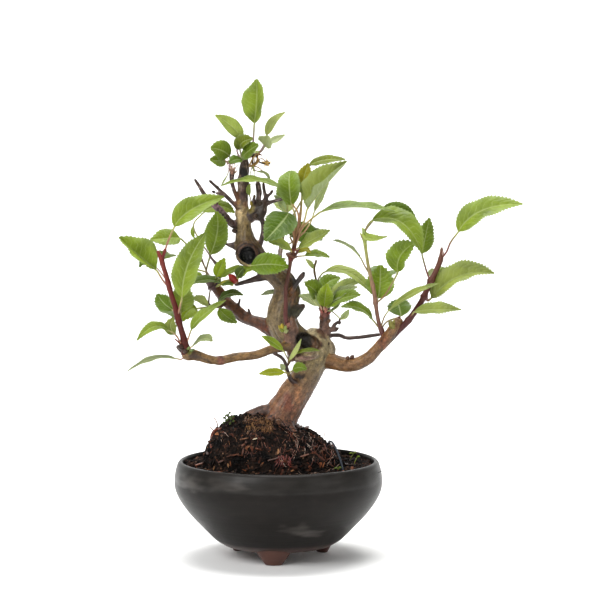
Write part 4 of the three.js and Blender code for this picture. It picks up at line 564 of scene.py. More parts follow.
# Buds and scales on the wood: x, y, z, lean, length, width, colour, how pointed
BUDS = [
    (-33, -6, 202.3, 15, 5.4, 5, "#5E1614", 0.3),
    (-33.6, -6.4, 199.9, 15, 3.0, 4.4, "#857628", 0.0),
    (1.6, -15.5, 166.2, -35, 5.6, 3.2, "#8E7F22", 0.7),
    (2.8, -16.2, 167.4, -5, 5.0, 3.0, "#9A8A2C", 0.7),
    (2.4, -16.4, 164.6, -60, 4.4, 2.8, "#6F7A2E", 0.6),
    (5.0, -16.8, 166.0, 20, 5.0, 2.8, "#7F8A4A", 0.7),
    (7.2, -16.4, 168.4, 35, 5.0, 3.2, "#7A5244", 0.5),
    (5.8, -16.6, 163.8, 60, 4.0, 2.8, "#8A8F60", 0.6),
    (8.9, -16, 216, 10, 3.8, 3.2, "#5E2A24", 0.0),
    (-33.2, -1, 281, -8, 6.0, 1.8, "#A88A76", 0.8),
    (-31.6, -1.4, 280.6, 18, 5.0, 1.6, "#A88A76", 0.8),
    (-34.8, -1.4, 280.2, -34, 5.2, 1.7, "#A88A76", 0.8),
    (-33, -2.4, 278.6, 5, 4.0, 3.2, "#7A5A4C", 0.4),
    (-30.6, -1.0, 279, 40, 3.6, 1.4, "#A88A76", 0.8),
    (87.2, -9.5, 173, 15, 4.4, 3.4, "#5A3428", 0.6),
    (117.9, -12, 223, 8, 4.4, 2.6, "#6A4A3C", 0.8),
    (-59.4, -1, 272.6, -30, 3.8, 2.2, "#3A2C28", 0.6),
    (-48.6, 0.4, 272, -50, 3.6, 2.4, "#3A2C26", 0.6),
    (-43.5, 0.8, 268, -20, 3.0, 1.8, "#33261E", 0.5),
    (-46.5, 0, 264.6, -60, 3.2, 2.2, "#33261E", 0.5),
    (-52.6, -1.4, 262.6, 30, 3.0, 2.0, "#33261E", 0.4),
    (-44.5, 0, 256, 30, 3.4, 2.6, "#4A3230", 0.3),
    (-36.5, -0.6, 247, -50, 3.6, 3.0, "#40302A", 0.3),
    (-10.6, -1.2, 270, -5, 3.6, 2.2, "#3E2E26", 0.6),
    (-14.7, 2.8, 271.4, 0, 3.6, 2.8, "#4A3630", 0.5),
    (-17.2, -1.6, 261.4, 5, 3.0, 2.2, "#4A3A26", 0.6),
    (5.2, -4.2, 260.4, 75, 3.2, 2.2, "#40302A", 0.5),
    (-4.6, -3.2, 264.8, 40, 3.2, 2.2, "#40302A", 0.5),
    (-13, -2.6, 256, 40, 4.4, 3.2, "#33281E", 0.3),
    (-19.5, -2.2, 256.5, -10, 4.6, 2.2, "#7A6A24", 0.7),
    (-16.6, -4.6, 247, 30, 5.2, 4.2, "#3A2C22", 0.2),
    (-33.5, -3.4, 242.5, -30, 5.2, 4.2, "#3E2D28", 0.2),
    (-31.5, -3.6, 236.5, -70, 4.6, 3.6, "#3A2C24", 0.2),
    (-41.4, 5, 228.6, -70, 2.8, 1.8, "#2E2420", 0.6),
    (18.2, -13.2, 205.8, 30, 2.8, 2.6, "#2A211C", 0.0),
    (-2.8, -17, 147.3, -50, 3.0, 2.0, "#2A211C", 0.5),
    (44.8, 5, 172.8, 40, 3.0, 1.9, "#4A3630", 0.6),
    (44.2, 6, 170, 50, 3.2, 2.6, "#3E2E28", 0.3),
    (53.4, -3.4, 145.2, 50, 4.2, 3, "#4E3328", 0.2),
    (50.2, -4.4, 144.6, 20, 3.2, 2.8, "#5A3C2C", 0.1),
    # at the foot of the left end's shoot
    (-70.6, -28.5, 152.6, -60, 5, 4.2, "#33211A", 0.5),
    (-67.5, -29, 149.5, -20, 4, 3.8, "#3A2A20", 0.5),
    (-62.5, -28.6, 150.2, 70, 4.6, 2.2, "#5F7040", 0.6),
    (-65, -28.6, 151.6, 40, 4, 2, "#6F8048", 0.6),
    # scales round the top of the middle spur
    (31, 3.6, 178.5, -25, 5, 2.2, "#8A5048", 0.6),
    (34.5, 3, 179.5, 10, 5.4, 2.4, "#A06A5C", 0.6),
    (37.2, 4, 177.5, 35, 4.6, 2, "#7A4640", 0.6),
    (31.1, 4.9, 173.3, -50, 4, 3, "#5A3A2C", 0.2),
    (36.5, 5.1, 171.3, 50, 4, 3, "#5A4030", 0.2),
    (33, 2.6, 181.2, 0, 4.8, 1.3, "#C2A08A", 0.7),
    (35.6, 3, 181.4, 22, 4.8, 1.2, "#B8907C", 0.7),
    (30.8, 3, 181.2, -22, 4.8, 1.2, "#C2A08A", 0.7),
    # buds at the tips of the right branch's shoots
    (82.2, -11.4, 168.4, -28, 8, 5, "#6C6832", 0.1),
    (62, -8.6, 235.6, 5, 6, 3.4, "#8E9E5A", 0.6),
    (118.6, -12.4, 220, 10, 4.6, 2.2, "#9A8078", 0.6),
]
CALYX = (-8.2, -4, 285.3)
DRIED_STALKS = [
    ([(-20, 2, 283, 1.4), (-16, -1, 286, 1.1), (-12, -3, 288.5, 0.8), (-8.2, -3.6, 285.8, 1)], "#9C7A4E"),
    ([(-20.5, 2, 284, 1.3), (-18, -1, 289, 1.0), (-13.5, -2.5, 293, 0.6)], "#A68450"),
    ([(-21, 2, 283, 1.2), (-15, 0, 282.5, 0.9), (-11, -1.5, 279.5, 0.7)], "#9A7E56"),
    ([(-20, 1, 283, 1.6), (-16, -1, 284.5, 1.5), (-13.6, -2, 287.6, 1.3)], "#9C7C46"),
    ([(-16, -1, 286, 0.7), (-14.6, -2.4, 290, 0.6), (-12.6, -3, 294.5, 0.4)], "#A8804E"),
    ([(-17, -1, 286, 0.7), (-16.4, -2.4, 290.5, 0.6), (-15.4, -3, 294, 0.4)], "#93703E"),
    ([(-15, -2, 288, 0.6), (-12.4, -3, 290, 0.5), (-10.6, -3.4, 293, 0.4)], "#B8945E"),
    ([(-18, -1, 283, 0.8), (-17.4, -2.4, 279.6, 0.6), (-16.6, -3, 276, 0.5)], "#9AA05A"),
    ([(-19, -1, 282, 0.8), (-20, -2.4, 278, 0.6), (-20.6, -3, 275, 0.5)], "#8A8A50"),
    # leaf stalks that fan out above the left twig's bud
    *[([(-33, -1, 278.5, 0.6), (x * 0.6 - 13.2, -1.4, z * 0.6 + 111.4, 0.55), (x, -1, z, 0.5)], "#C29C88")
      for x, z in ((-38.6, 288), (-37, 290), (-35.4, 287.6), (-33, 289.5), (-30.6, 287), (-28.2, 285))],
]
# Roots that lie half sunk in the mound: points as seen from the front (x, z), thickness, colour
LAID_ROOTS = [
    ([(-40, 90), (-43, 93), (-46.5, 91.5), (-48.5, 87), (-48.5, 80)], 2.6, "#6E3A2C"),
    ([(-17, 92), (-22, 86), (-25, 79), (-26, 74)], 2.0, "#4A2C20"),
    ([(18, 88), (24, 82), (27, 75), (33, 70)], 2.2, "#5A3226"),
    ([(26, 88), (32, 83), (35, 77)], 1.6, "#6A4234"),
]
# Fine roots and fibres on the mound as seen from the front: left, right, low, high, how many, longest,
# thickness, colours
FINE_ROOTS = [
    (-2, 42, 70, 92, 46, 14, 0.42, ["#5A3026", "#6E3A30", "#4A2A20", "#8A5A4C"]),
    (2, 40, 70, 90, 16, 13, 0.3, ["#B59A8C", "#CDBCAE"]),
    (-24, -4, 93, 103, 170, 5, 0.24, ["#75502F", "#8A6240", "#553A26", "#9C744C"]),
    (-42, -30, 80, 90, 8, 7, 0.4, ["#B59A8C", "#7A5238"]),
    (-24, -8, 74, 88, 12, 9, 0.36, ["#5A3026", "#8A5A4C"]),
    (-1, 9, 66, 73, 18, 5, 0.9, ["#5A1E1A", "#6A2A22"]),
]


def linear(colour):
    """An sRGB hex colour as linear red, green and blue."""
    parts = [int(colour[i : i + 2], 16) / 255 for i in (1, 3, 5)]
    return [p / 12.92 if p <= 0.04045 else ((p + 0.055) / 1.055) ** 2.4 for p in parts]


def true_place(point):
    """A layout point's place in the row frame, in millimetres."""
    x, y, z = point[:3]
    return np.array(
        [x + (x - EYE_X) * y / EYE_AWAY + POT_AXIS[0], y + POT_AXIS[1], z + (z - EYE_Z) * y / EYE_AWAY]
    )


def seen_place(places):
    """The layout x and z of row-frame places in millimetres, with their y."""
    y = places[:, 1] - POT_AXIS[1]
    x = (places[:, 0] - POT_AXIS[0] + EYE_X * y / EYE_AWAY) / (1 + y / EYE_AWAY)
    z = (places[:, 2] + EYE_Z * y / EYE_AWAY) / (1 + y / EYE_AWAY)
    return x, y, z


def unit(vectors):
    """Vectors at length 1."""
    return vectors / np.maximum(np.linalg.norm(vectors, axis=-1, keepdims=True), 1e-9)


def circle(sides):
    """The angles of so many places round a circle."""
    return np.linspace(0, 2 * math.pi, sides, endpoint=False)


def wall(rows, sides, closed=False):
    """The faces between rings of places, and from the last ring to the first where it is closed."""
    faces = []
    for i in range(rows if closed else rows - 1):
        above = (i + 1) % rows
        for j in range(sides):
            k = (j + 1) % sides
            faces.append((i * sides + j, i * sides + k, above * sides + k, above * sides + j))
    return faces


def caps(rows, sides, low, high):
    """The faces that close the first ring of a wall to the place low, and the last to the place high."""
    faces = []
    last = (rows - 1) * sides
    for j in range(sides):
        k = (j + 1) % sides
        faces += [(low, k, j), (high, last + j, last + k)]
    return faces


class Heap:
    """Collects the parts of one mesh: places in mm, faces, a tint and a UV for each place."""

    def __init__(self):
        self.places, self.tints, self.maps = [], [], []
        self.faces, self.slots = [], []
        self.count = 0

    def add(self, places, faces, tint=(1, 1, 1), slot=0, uv=None):
        """Adds places with their faces, which count from the first of them."""
        places = np.asarray(places, float)
        self.places.append(places)
        self.tints.append(np.broadcast_to(np.asarray(tint, float), (len(places), 3)))
        self.maps.append(np.zeros((len(places), 2)) if uv is None else uv)
        self.cover(faces, slot, self.count)
        self.count += len(places)

    def cover(self, faces, slot, start):
        """Adds faces over places that the heap has, counted from start."""
        self.faces.extend([start + k for k in face] for face in faces)
        self.slots.extend([slot] * len(faces))

    def rod(self, points, sides, tint, step=1.2, thin=1.0, slot=0):
        """Adds a round rod through (x, y, z, diameter) layout points."""
        line, radii, _ = spine(points, step)
        places, faces, _ = tube(line, radii * thin, sides)
        self.add(places, faces, tint, slot)

    def piece(self, name, materials, sharp=50):
        """Makes the heap an object, smooth but for edges sharper than so many degrees."""
        mesh = bpy.data.meshes.new(name)
        mesh.from_pydata(np.concatenate(self.places) * MM, [], self.faces)
        for material in materials:
            mesh.materials.append(material)
        mesh.polygons.foreach_set("material_index", self.slots)
        paint(mesh, np.concatenate(self.tints))
        maps = np.concatenate(self.maps)
        corners = np.zeros(len(mesh.loops), np.int32)
        mesh.loops.foreach_get("vertex_index", corners)
        mesh.uv_layers.new(name="blade").data.foreach_set("uv", maps[corners].ravel())
        mesh.polygons.foreach_set("use_smooth", [True] * len(mesh.polygons))
        mesh.set_sharp_from_angle(angle=math.radians(sharp))
        mesh.validate()
        return placed(name, mesh)


def paint(mesh, tint):
    """Gives a mesh the colour of each of its places, as the attribute tint."""
    colours = np.ones((len(tint), 4))
    colours[:, :3] = tint
    mesh.color_attributes.new("tint", "FLOAT_COLOR", "POINT").data.foreach_set("color", colours.ravel())


def placed(name, data):
    """A new object in the scene."""
    made = bpy.data.objects.new(name, data)
    bpy.context.scene.collection.objects.link(made)
    return made


def curve(knots, step):
    """Places on a smooth line through knots, a step apart as their first three or fewer columns measure."""
    knots = np.vstack([2 * knots[0] - knots[1], knots, 2 * knots[-1] - knots[-2]])
    rows = []
    for a, b, c, d in zip(knots, knots[1:], knots[2:], knots[3:]):
        count = max(1, round(float(np.linalg.norm(c[:3] - b[:3])) / step))
        t = (np.arange(count) / count)[:, None]
        rows.append(
            0.5 * (2 * b + (c - a) * t + (2 * a - 5 * b + 4 * c - d) * t**2 + (3 * b - a - 3 * c + d) * t**3)
        )
    return np.vstack([*rows, knots[-2:-1]])


def spine(points, step):
    """A smooth line through (x, y, z, diameter) layout points: places, radii and how far along each is."""
    rows = curve(np.array([[*true_place(p), p[3] / 2] for p in points]), step)
    along = np.concatenate([[0], np.cumsum(np.linalg.norm(np.diff(rows[:, :3], axis=0), axis=1))])
    return rows[:, :3], np.maximum(rows[:, 3], 0.08), along


def frames(line):
    """Tangents and two square directions along a line, turned as little as can be."""
    tangents = unit(np.gradient(line, axis=0))
    side = np.array([1.0, 0.0, 0.0])
    sides = []
    for tangent in tangents:
        side = side - tangent * (side @ tangent)
        if np.linalg.norm(side) < 0.2:
            side = np.array([0.0, 1.0, 0.0]) - tangent * tangent[1]
        side = side / np.linalg.norm(side)
        sides.append(side)
    sides = np.array(sides)
    return tangents, sides, np.cross(tangents, sides)


def rings(side, across, sides):
    """Circles of radius 1 square to a line, from its two square directions."""
    turn = circle(sides)[None, :, None]
    return side[:, None] * np.cos(turn) + across[:, None] * np.sin(turn)


def tube(line, radii, sides, ends=(True, True)):
    """A round closed tube along a line, with domed ends. Gives its places, faces and row numbers."""
    tangents, side, across = frames(line)
    rows, sizes, shifts = list(range(len(line))), list(radii), [0.0] * len(line)
    if ends[0]:
        rows, sizes, shifts = [0, *rows], [radii[0] * 0.7, *sizes], [-radii[0] * 0.55, *shifts]
    if ends[1]:
        rows, sizes, shifts = [*rows, rows[-1]], [*sizes, radii[-1] * 0.7], [*shifts, radii[-1] * 0.55]
    rows = np.array(rows)
    centre = line[rows] + tangents[rows] * np.array(shifts)[:, None]
    ring = rings(side[rows], across[rows], sides)
    places = (centre[:, None] + ring * np.array(sizes)[:, None, None]).reshape(-1, 3)
    first = centre[0] - tangents[0] * sizes[0] * 0.4
    last = centre[-1] + tangents[-1] * sizes[-1] * 0.4
    low = len(places)
    faces = wall(len(rows), sides) + caps(len(rows), sides, low, low + 1)
    numbers = np.concatenate([np.repeat(rows, sides), [0, len(line) - 1]])
    return np.vstack([places, first, last]), faces, numbers


def ovoid(centre, axis, length, width, sides=8, rows=5, point=0.0):
    """A closed bud-shaped body, drawn to a point by point from 0 to 1."""
    axis = unit(np.array(axis, float))
    along = np.linspace(0, 1, rows + 2)[1:-1]
    line = np.array(centre) + np.outer(along - 0.5, axis) * length
    size = np.sqrt(np.maximum(1 - (2 * along - 1) ** 2, 0)) * width / 2
    size = size * (1 - point * np.maximum(along - 0.45, 0) * 1.2)
    _, side, across = frames(line)
    places = (line[:, None] + rings(side, across, sides) * size[:, None, None]).reshape(-1, 3)
    low = len(places)
    ends = [np.array(centre) - axis * length / 2, np.array(centre) + axis * length / 2]
    return np.vstack([places, ends]), wall(rows, sides) + caps(rows, sides, low, low + 1)


def add(tree, kind, given=(), out=0, stops=(), **settings):
    """Adds a node and gives one of its outputs. It sets the node's own properties and its colour stops, and
    fills or links its named or numbered inputs, of which one given as sRGB hex is turned to linear."""
    made = tree.nodes.new(kind)
    for key, value in settings.items():
        setattr(made, key, value)
    for k, (position, colour) in enumerate(stops):
        row = made.color_ramp.elements
        stop = row[k] if k < len(row) else row.new(position)
        stop.position, stop.color = position, (*linear(colour), 1)
    for key, value in dict(given).items():
        socket = made.inputs[key]
        if isinstance(value, bpy.types.NodeSocket):
            tree.links.new(value, socket)
        elif isinstance(value, str) and value.startswith("#"):
            socket.default_value = (*linear(value), 1)
        else:
            socket.default_value = value
    return made.outputs[out] if made.outputs else made


def material(name):
    """An empty material, the function that adds a node to it, and Object coordinates in metres."""
    made = bpy.data.materials.new(name)
    made.use_nodes = True
    made.node_tree.nodes.clear()
    node = partial(add, made.node_tree)
    return made, node, node("ShaderNodeTexCoord", out="Object")


def surface(node, colour, rough, gloss, height, strength, distance, metallic=0.0):
    """A surface's shader, with its roughness and gloss, and its bump's strength and distance in metres."""
    normal = node("ShaderNodeBump", {"Height": height, "Strength": strength, "Distance": distance})
    given = {"Base Color": colour, "Roughness": rough, "Specular IOR Level": gloss, "Normal": normal}
    return node("ShaderNodeBsdfPrincipled", {**given, "Metallic": metallic})


def stoneware():
    """Stoneware, thrown and burnished with a dark iron slip: near-black satin with faint turning rings."""
    made, node, where = material("stoneware, thrown with dark iron slip")
    tint = node(ATTRIBUTE, out="Color", attribute_name="tint")
    # clouds of slip 20 mm wide and iron specks of about 0.7 mm
    clouds = node(NOISE, {"Vector": where, "Scale": 50.0, "Detail": 4.0})
    specks = node(NOISE, {"Vector": where, "Scale": 1400.0, "Detail": 2.0})
    slip = node(RAMP, {0: clouds}, stops=[(0.3, "#6F6862"), (0.7, "#CFC8C0")])
    iron = node(RAMP, {0: specks}, stops=[(0.62, "#000000"), (0.72, "#2A2A2A")])
    colour = node(MIX, {0: 0.3, 6: tint, 7: slip}, 2, **OVERLAID)
    colour = node(MIX, {0: iron, 6: colour, 7: "#6B5A4C"}, 2, **MIXED)
    # turning rings every 2 to 3 mm and grit of 0.4 mm
    rings = node("ShaderNodeMapping", {"Vector": where, "Scale": (12.0, 12.0, 420.0)})
    rings = node(NOISE, {"Vector": rings, "Scale": 1.0, "Detail": 2.0})
    grit = node(NOISE, {"Vector": where, "Scale": 2500.0, "Detail": 1.0})
    grit = node(MATH, {0: grit, 1: 0.35}, operation="MULTIPLY")
    height = node(MATH, {0: rings, 1: grit}, operation="ADD")
    rough = node(RANGE, {"Value": clouds, "To Min": 0.3, "To Max": 0.46})
    # the band under the rim, painted lightest as a highlight, is burnished and shines the most
    gloss = {"Value": tint, "From Min": 0.009, "From Max": 0.028, "To Min": 0.12, "To Max": 0.42}
    node(OUTPUT, {0: surface(node, colour, rough, node(RANGE, gloss), height, 0.22, 0.0005)})
    return made


def living_bark(name="apple bark, grown"):
    """Apple bark, grown: dull and scaly, with fine cracks and pale crusts, and smoother on young wood."""
    made, node, where = material(name)
    tint = node(ATTRIBUTE, out="Color", attribute_name="tint")
    # mottling of 3 mm and grains of 0.6 mm
    mottle = node(NOISE, {"Vector": where, "Scale": 330.0, "Detail": 5.0})
    grain = node(NOISE, {"Vector": where, "Scale": 1600.0, "Detail": 3.0})
    shade = node(RAMP, {0: mottle}, stops=[(0.3, "#746E68"), (0.5, "#BBBBBB"), (0.7, "#F0EBE2")])
    flecks = node(RAMP, {0: grain}, stops=[(0.35, "#5E5954"), (0.6, "#D6D6D6")])
    colour = node(MIX, {0: 0.6, 6: tint, 7: shade}, 2, **OVERLAID)
    colour = node(MIX, {0: 0.45, 6: colour, 7: flecks}, 2, **OVERLAID)
    grain = node(MATH, {0: grain, 1: 0.6}, operation="MULTIPLY")
    height = node(MATH, {0: mottle, 1: grain}, operation="ADD")
    node(OUTPUT, {0: surface(node, colour, 0.42, 0.34, height, 0.5, 0.0005)})
    return made


def veins(node):
    """How much of a side vein, of the midrib and of the swelling between veins there is on a blade, and how
    far from the rib a place is: 0 at the rib and 1 at the edge."""
    flat = node("ShaderNodeUVMap", uv_map="blade")
    split = node("ShaderNodeSeparateXYZ", {0: flat}).node.outputs
    side = node(MATH, {0: split["X"], 1: 2.0, 2: -1.0}, operation="MULTIPLY_ADD")
    side = node(MATH, {0: side}, operation="ABSOLUTE")
    # nine pairs of side veins that lean towards the tip and wander a little
    bend = node(NOISE, {"Vector": flat, "Scale": 5.0, "Detail": 1.0})
    bend = node(MATH, {0: bend, 1: 1.3}, operation="MULTIPLY")
    lean = node(MATH, {0: side, 1: 1.9}, operation="MULTIPLY")
    step = node(MATH, {0: split["Y"], 1: 9.0}, operation="MULTIPLY")
    step = node(MATH, {0: step, 1: bend}, operation="ADD")
    step = node(MATH, {0: step, 1: lean}, operation="SUBTRACT")
    swell = node(MATH, {0: step, 1: 0.5}, operation="PINGPONG")
    line = node(RANGE, {"Value": swell, "From Min": 0.1, "From Max": 0.02})
    fade = node(MATH, {0: side, 1: 3.0}, operation="POWER")
    fade = node(MATH, {0: 1.0, 1: fade}, operation="SUBTRACT")
    line = node(MATH, {0: line, 1: fade}, operation="MULTIPLY")
    rib = node(RANGE, {"Value": side, "From Min": 0.09, "From Max": 0.03})
    return line, rib, swell, side


def marked(node, colour, *marks):
    """A colour under marks, each as how much of it there is at a place, how strong it is and its colour."""
    for place, most, tone in marks:
        amount = node(MATH, {0: place, 1: most}, operation="MULTIPLY")
        colour = node(MIX, {0: amount, 6: colour, 7: tone}, 2, **MIXED)
    return colour


def lit_through(node, shader, colour, warm, glow, share):
    """A leaf's shader that lets light through, in its colour mixed with a warmer green."""
    warmer = node(MIX, {0: warm, 6: colour, 7: glow}, 2, **MIXED)
    through = node("ShaderNodeBsdfTranslucent", {"Color": warmer})
    node(OUTPUT, {0: node("ShaderNodeMixShader", {0: share, 1: shader, 2: through})})


def leaf_upper():
    """Apple leaf, grown, upper side: waxy half-gloss green, sunken veins, light shining through."""
    made, node, where = material("apple leaf, upper side")
    tint = node(ATTRIBUTE, out="Color", attribute_name="tint")
    line, rib, swell, side = veins(node)
    # clouds of 15 mm and a net of small veins with cells of 1.6 mm
    clouds = node(NOISE, {"Vector": where, "Scale": 70.0, "Detail": 3.0})
    clouds = node(RAMP, {0: clouds}, stops=[(0.3, "#5E6A4E"), (0.5, "#B4B79E"), (0.74, "#DDDCC0")])
    net = node("ShaderNodeTexVoronoi", {"Vector": where, "Scale": 620.0}, feature="DISTANCE_TO_EDGE")
    net = node(RANGE, {"Value": net, "From Max": 0.12})
    mesh = node(MATH, {0: 1.0, 1: net}, operation="SUBTRACT")
    edge = node(MATH, {0: side, 1: 6.0}, operation="POWER")
    colour = node(MIX, {0: 0.6, 6: tint, 7: clouds}, 2, **OVERLAID)
    colour = marked(node, colour, (mesh, 0.07, "#BFCB86"), (line, 0.24, "#B4C277"))
    # the pale margin is partly the felt of the curled edge and partly a painted highlight along it
    colour = marked(node, colour, (rib, 0.42, "#C0CB8A"), (edge, 0.3, "#A3B57E"))
    net = node(MATH, {0: net, 1: 0.16}, operation="MULTIPLY")
    height = node(MATH, {0: swell, 1: net}, operation="ADD")
    shader = surface(node, colour, 0.38, 0.2, height, 0.55, 0.0008)
    lit_through(node, shader, colour, 0.35, "#C9D23C", 0.24)
    return made


def leaf_under():
    """Apple leaf, grown, underside: pale grey-green felt with raised veins, so it is dull and light."""
    made, node, where = material("apple leaf, underside")
    tint = node(ATTRIBUTE, out="Color", attribute_name="tint")
    line, rib, swell, _ = veins(node)
    felt = node(NOISE, {"Vector": where, "Scale": 1500.0, "Detail": 2.0})
    nap = node(RAMP, {0: felt}, stops=[(0.3, "#8A8A8A"), (0.7, "#DDDDDD")])
    colour = node(MIX, {0: 0.6, 6: tint, 7: "#B3C193"}, 2, **MIXED)
    colour = node(MIX, {0: 0.25, 6: colour, 7: nap}, 2, **OVERLAID)
    colour = marked(node, colour, (line, 0.5, "#CBD4AE"), (rib, 0.7, "#D3D9B4"))
    felt = node(MATH, {0: felt, 1: 0.1}, operation="MULTIPLY")
    swell = node(MATH, {0: swell, 1: 0.7}, operation="MULTIPLY")
    height = node(MATH, {0: felt, 1: swell}, operation="SUBTRACT")
    shader = surface(node, colour, 0.75, 0.25, height, 0.5, 0.0007)
    lit_through(node, shader, colour, 0.4, "#BBC84A", 0.3)
    return made


def young_stem(name="apple shoot, young skin"):
    """Apple shoot of this year, grown: smooth skin with a soft sheen, and small streaks along it."""
    made, node, where = material(name)
    tint = node(ATTRIBUTE, out="Color", attribute_name="tint")
    # streaks 0.7 mm wide and 4 mm long
    streaks = node("ShaderNodeMapping", {"Vector": where, "Scale": (1400.0, 1400.0, 250.0)})
    streaks = node(NOISE, {"Vector": streaks, "Scale": 1.0, "Detail": 2.0})
    tones = node(RAMP, {0: streaks}, stops=[(0.32, "#7A7570"), (0.68, "#D9D5CD")])
    colour = node(MIX, {0: 0.5, 6: tint, 7: tones}, 2, **OVERLAID)
    node(OUTPUT, {0: surface(node, colour, 0.4, 0.25, streaks, 0.3, 0.0003)})
    return made


def damp_and_shade(node, where, colour):
    """A colour with nearly black patches about 9 mm across: partly wet soil and partly painted shade."""
    patch = node(NOISE, {"Vector": where, "Scale": 110.0, "Detail": 2.0})
    patch = node(RAMP, {0: patch}, stops=[(0.4, "#5C5450"), (0.56, "#FFFFFF")])
    return node(MIX, {0: 1.0, 6: colour, 7: patch}, 2, data_type="RGBA", blend_type="MULTIPLY")


def ground(name, stops, scale, rough):
    """A dull loose matter whose colour follows noise of one size, in repeats per metre."""
    made, node, where = material(name)
    clouds = node(NOISE, {"Vector": where, "Scale": scale, "Detail": 5.0})
    colour = damp_and_shade(node, where, node(RAMP, {0: clouds}, stops=stops))
    fine = node(NOISE, {"Vector": where, "Scale": 1800.0, "Detail": 3.0})
    node(OUTPUT, {0: surface(node, colour, rough, 0.12, fine, 0.9, 0.0006)})
    return made


def shaded(name, stops, rough, streak):
    """Matter in many small pieces, each with its own shade, streaked at so many repeats per metre."""
    made, node, where = material(name)
    shade = node(ATTRIBUTE, out="Fac", attribute_name="shade")
    lines = node(NOISE, {"Vector": where, "Scale": streak, "Detail": 4.0})
    tones = node(RAMP, {0: lines}, stops=[(0.3, "#6E6A66"), (0.7, "#D5D0CA")])
    colour = node(MIX, {0: 0.6, 6: node(RAMP, {0: shade}, stops=stops), 7: tones}, 2, **OVERLAID)
    colour = damp_and_shade(node, where, colour)
    node(OUTPUT, {0: surface(node, colour, rough, 0.2, lines, 0.6, 0.0004)})
    return made


def fitting(name, colour, rough, metallic, grain):
    """A made material with a fine moulded or drawn grain at so many repeats per metre."""
    made, node, where = material(name)
    fine = node(NOISE, {"Vector": where, "Scale": grain, "Detail": 2.0})
    tones = node(RAMP, {0: fine}, stops=[(0.3, "#6F6F6F"), (0.7, "#C8C8C8")])
    tone = node(MIX, {0: 0.4, 6: colour, 7: tones}, 2, **OVERLAID)
    node(OUTPUT, {0: surface(node, tone, rough, 0.5, fine, 0.2, 0.0002, metallic)})
    return made


def outline(t):
    """Half the width of a leaf at t from base 0 to tip 1, where its widest is 1."""
    point = np.maximum(0, (t - 0.72) / 0.28)
    full = 0.72 + 0.2 * (1 - t) ** 2
    return np.sin(np.pi * np.clip(t, 0, 1) ** 0.82).clip(0) ** full * (1 - 0.3 * point**2)


def facing(tilt, turn):
    """The direction that leans from straight up towards the front by tilt, swung to the right by turn."""
    level = math.sin(math.radians(tilt))
    turn = math.radians(turn)
    return np.array([level * math.sin(turn), -level * math.cos(turn), math.cos(math.radians(tilt))])


def leaf_faces(rows, wide):
    """The faces of a blade's upper side, underside and rim. The rows of its upper side come first, then
    those of its underside, its foot and its tip."""
    low, foot, end = rows * wide, 2 * rows * wide, 2 * rows * wide + 1
    tops, unders, rims = [], [], []
    for i in range(rows - 1):
        for j in range(wide - 1):
            a, b = i * wide + j, (i + 1) * wide + j
            tops.append((a, a + 1, b + 1, b))
            unders.append((low + b, low + b + 1, low + a + 1, low + a))
        a, b = (i + 1) * wide - 1, (i + 2) * wide - 1
        rims.append((a, low + a, low + b, b))
        a, b = i * wide, (i + 1) * wide
        rims.append((b, low + b, low + a, a))
    last = (rows - 1) * wide
    for j in range(wide - 1):
        tops += [(foot, j + 1, j), (last + j, last + j + 1, end)]
        unders += [(low + j, low + j + 1, foot), (end, low + last + j + 1, low + last + j)]
    rims += [(foot, low + wide - 1, wide - 1), (last + wide - 1, low + last + wide - 1, end)]
    rims += [(0, low, foot), (end, low + last, last)]
    return tops, unders, rims


# Rows along a blade: how few, how many. Leaves wider than this in mm have five columns to a half, not three
FEWEST_ROWS, MOST_ROWS, WIDE_LEAF = 12, 64, 8
# How much the halves of a blade arch, how far its teeth lean to the tip, and its midrib's least radius in mm
ARCH, TOOTH_LEAN, FINE_RIB = 0.3, 0.35, 0.14
# A stem swells by this part over so many mm at a joint, and holds a bud by leaf stalks that start within so
# many mm of it and whose leaves are wider than the last figure
SWELLING, SWELLS_OVER, HOLDS_WITHIN, BUD_LEAF = 0.22, 1.5, 2.5, 11


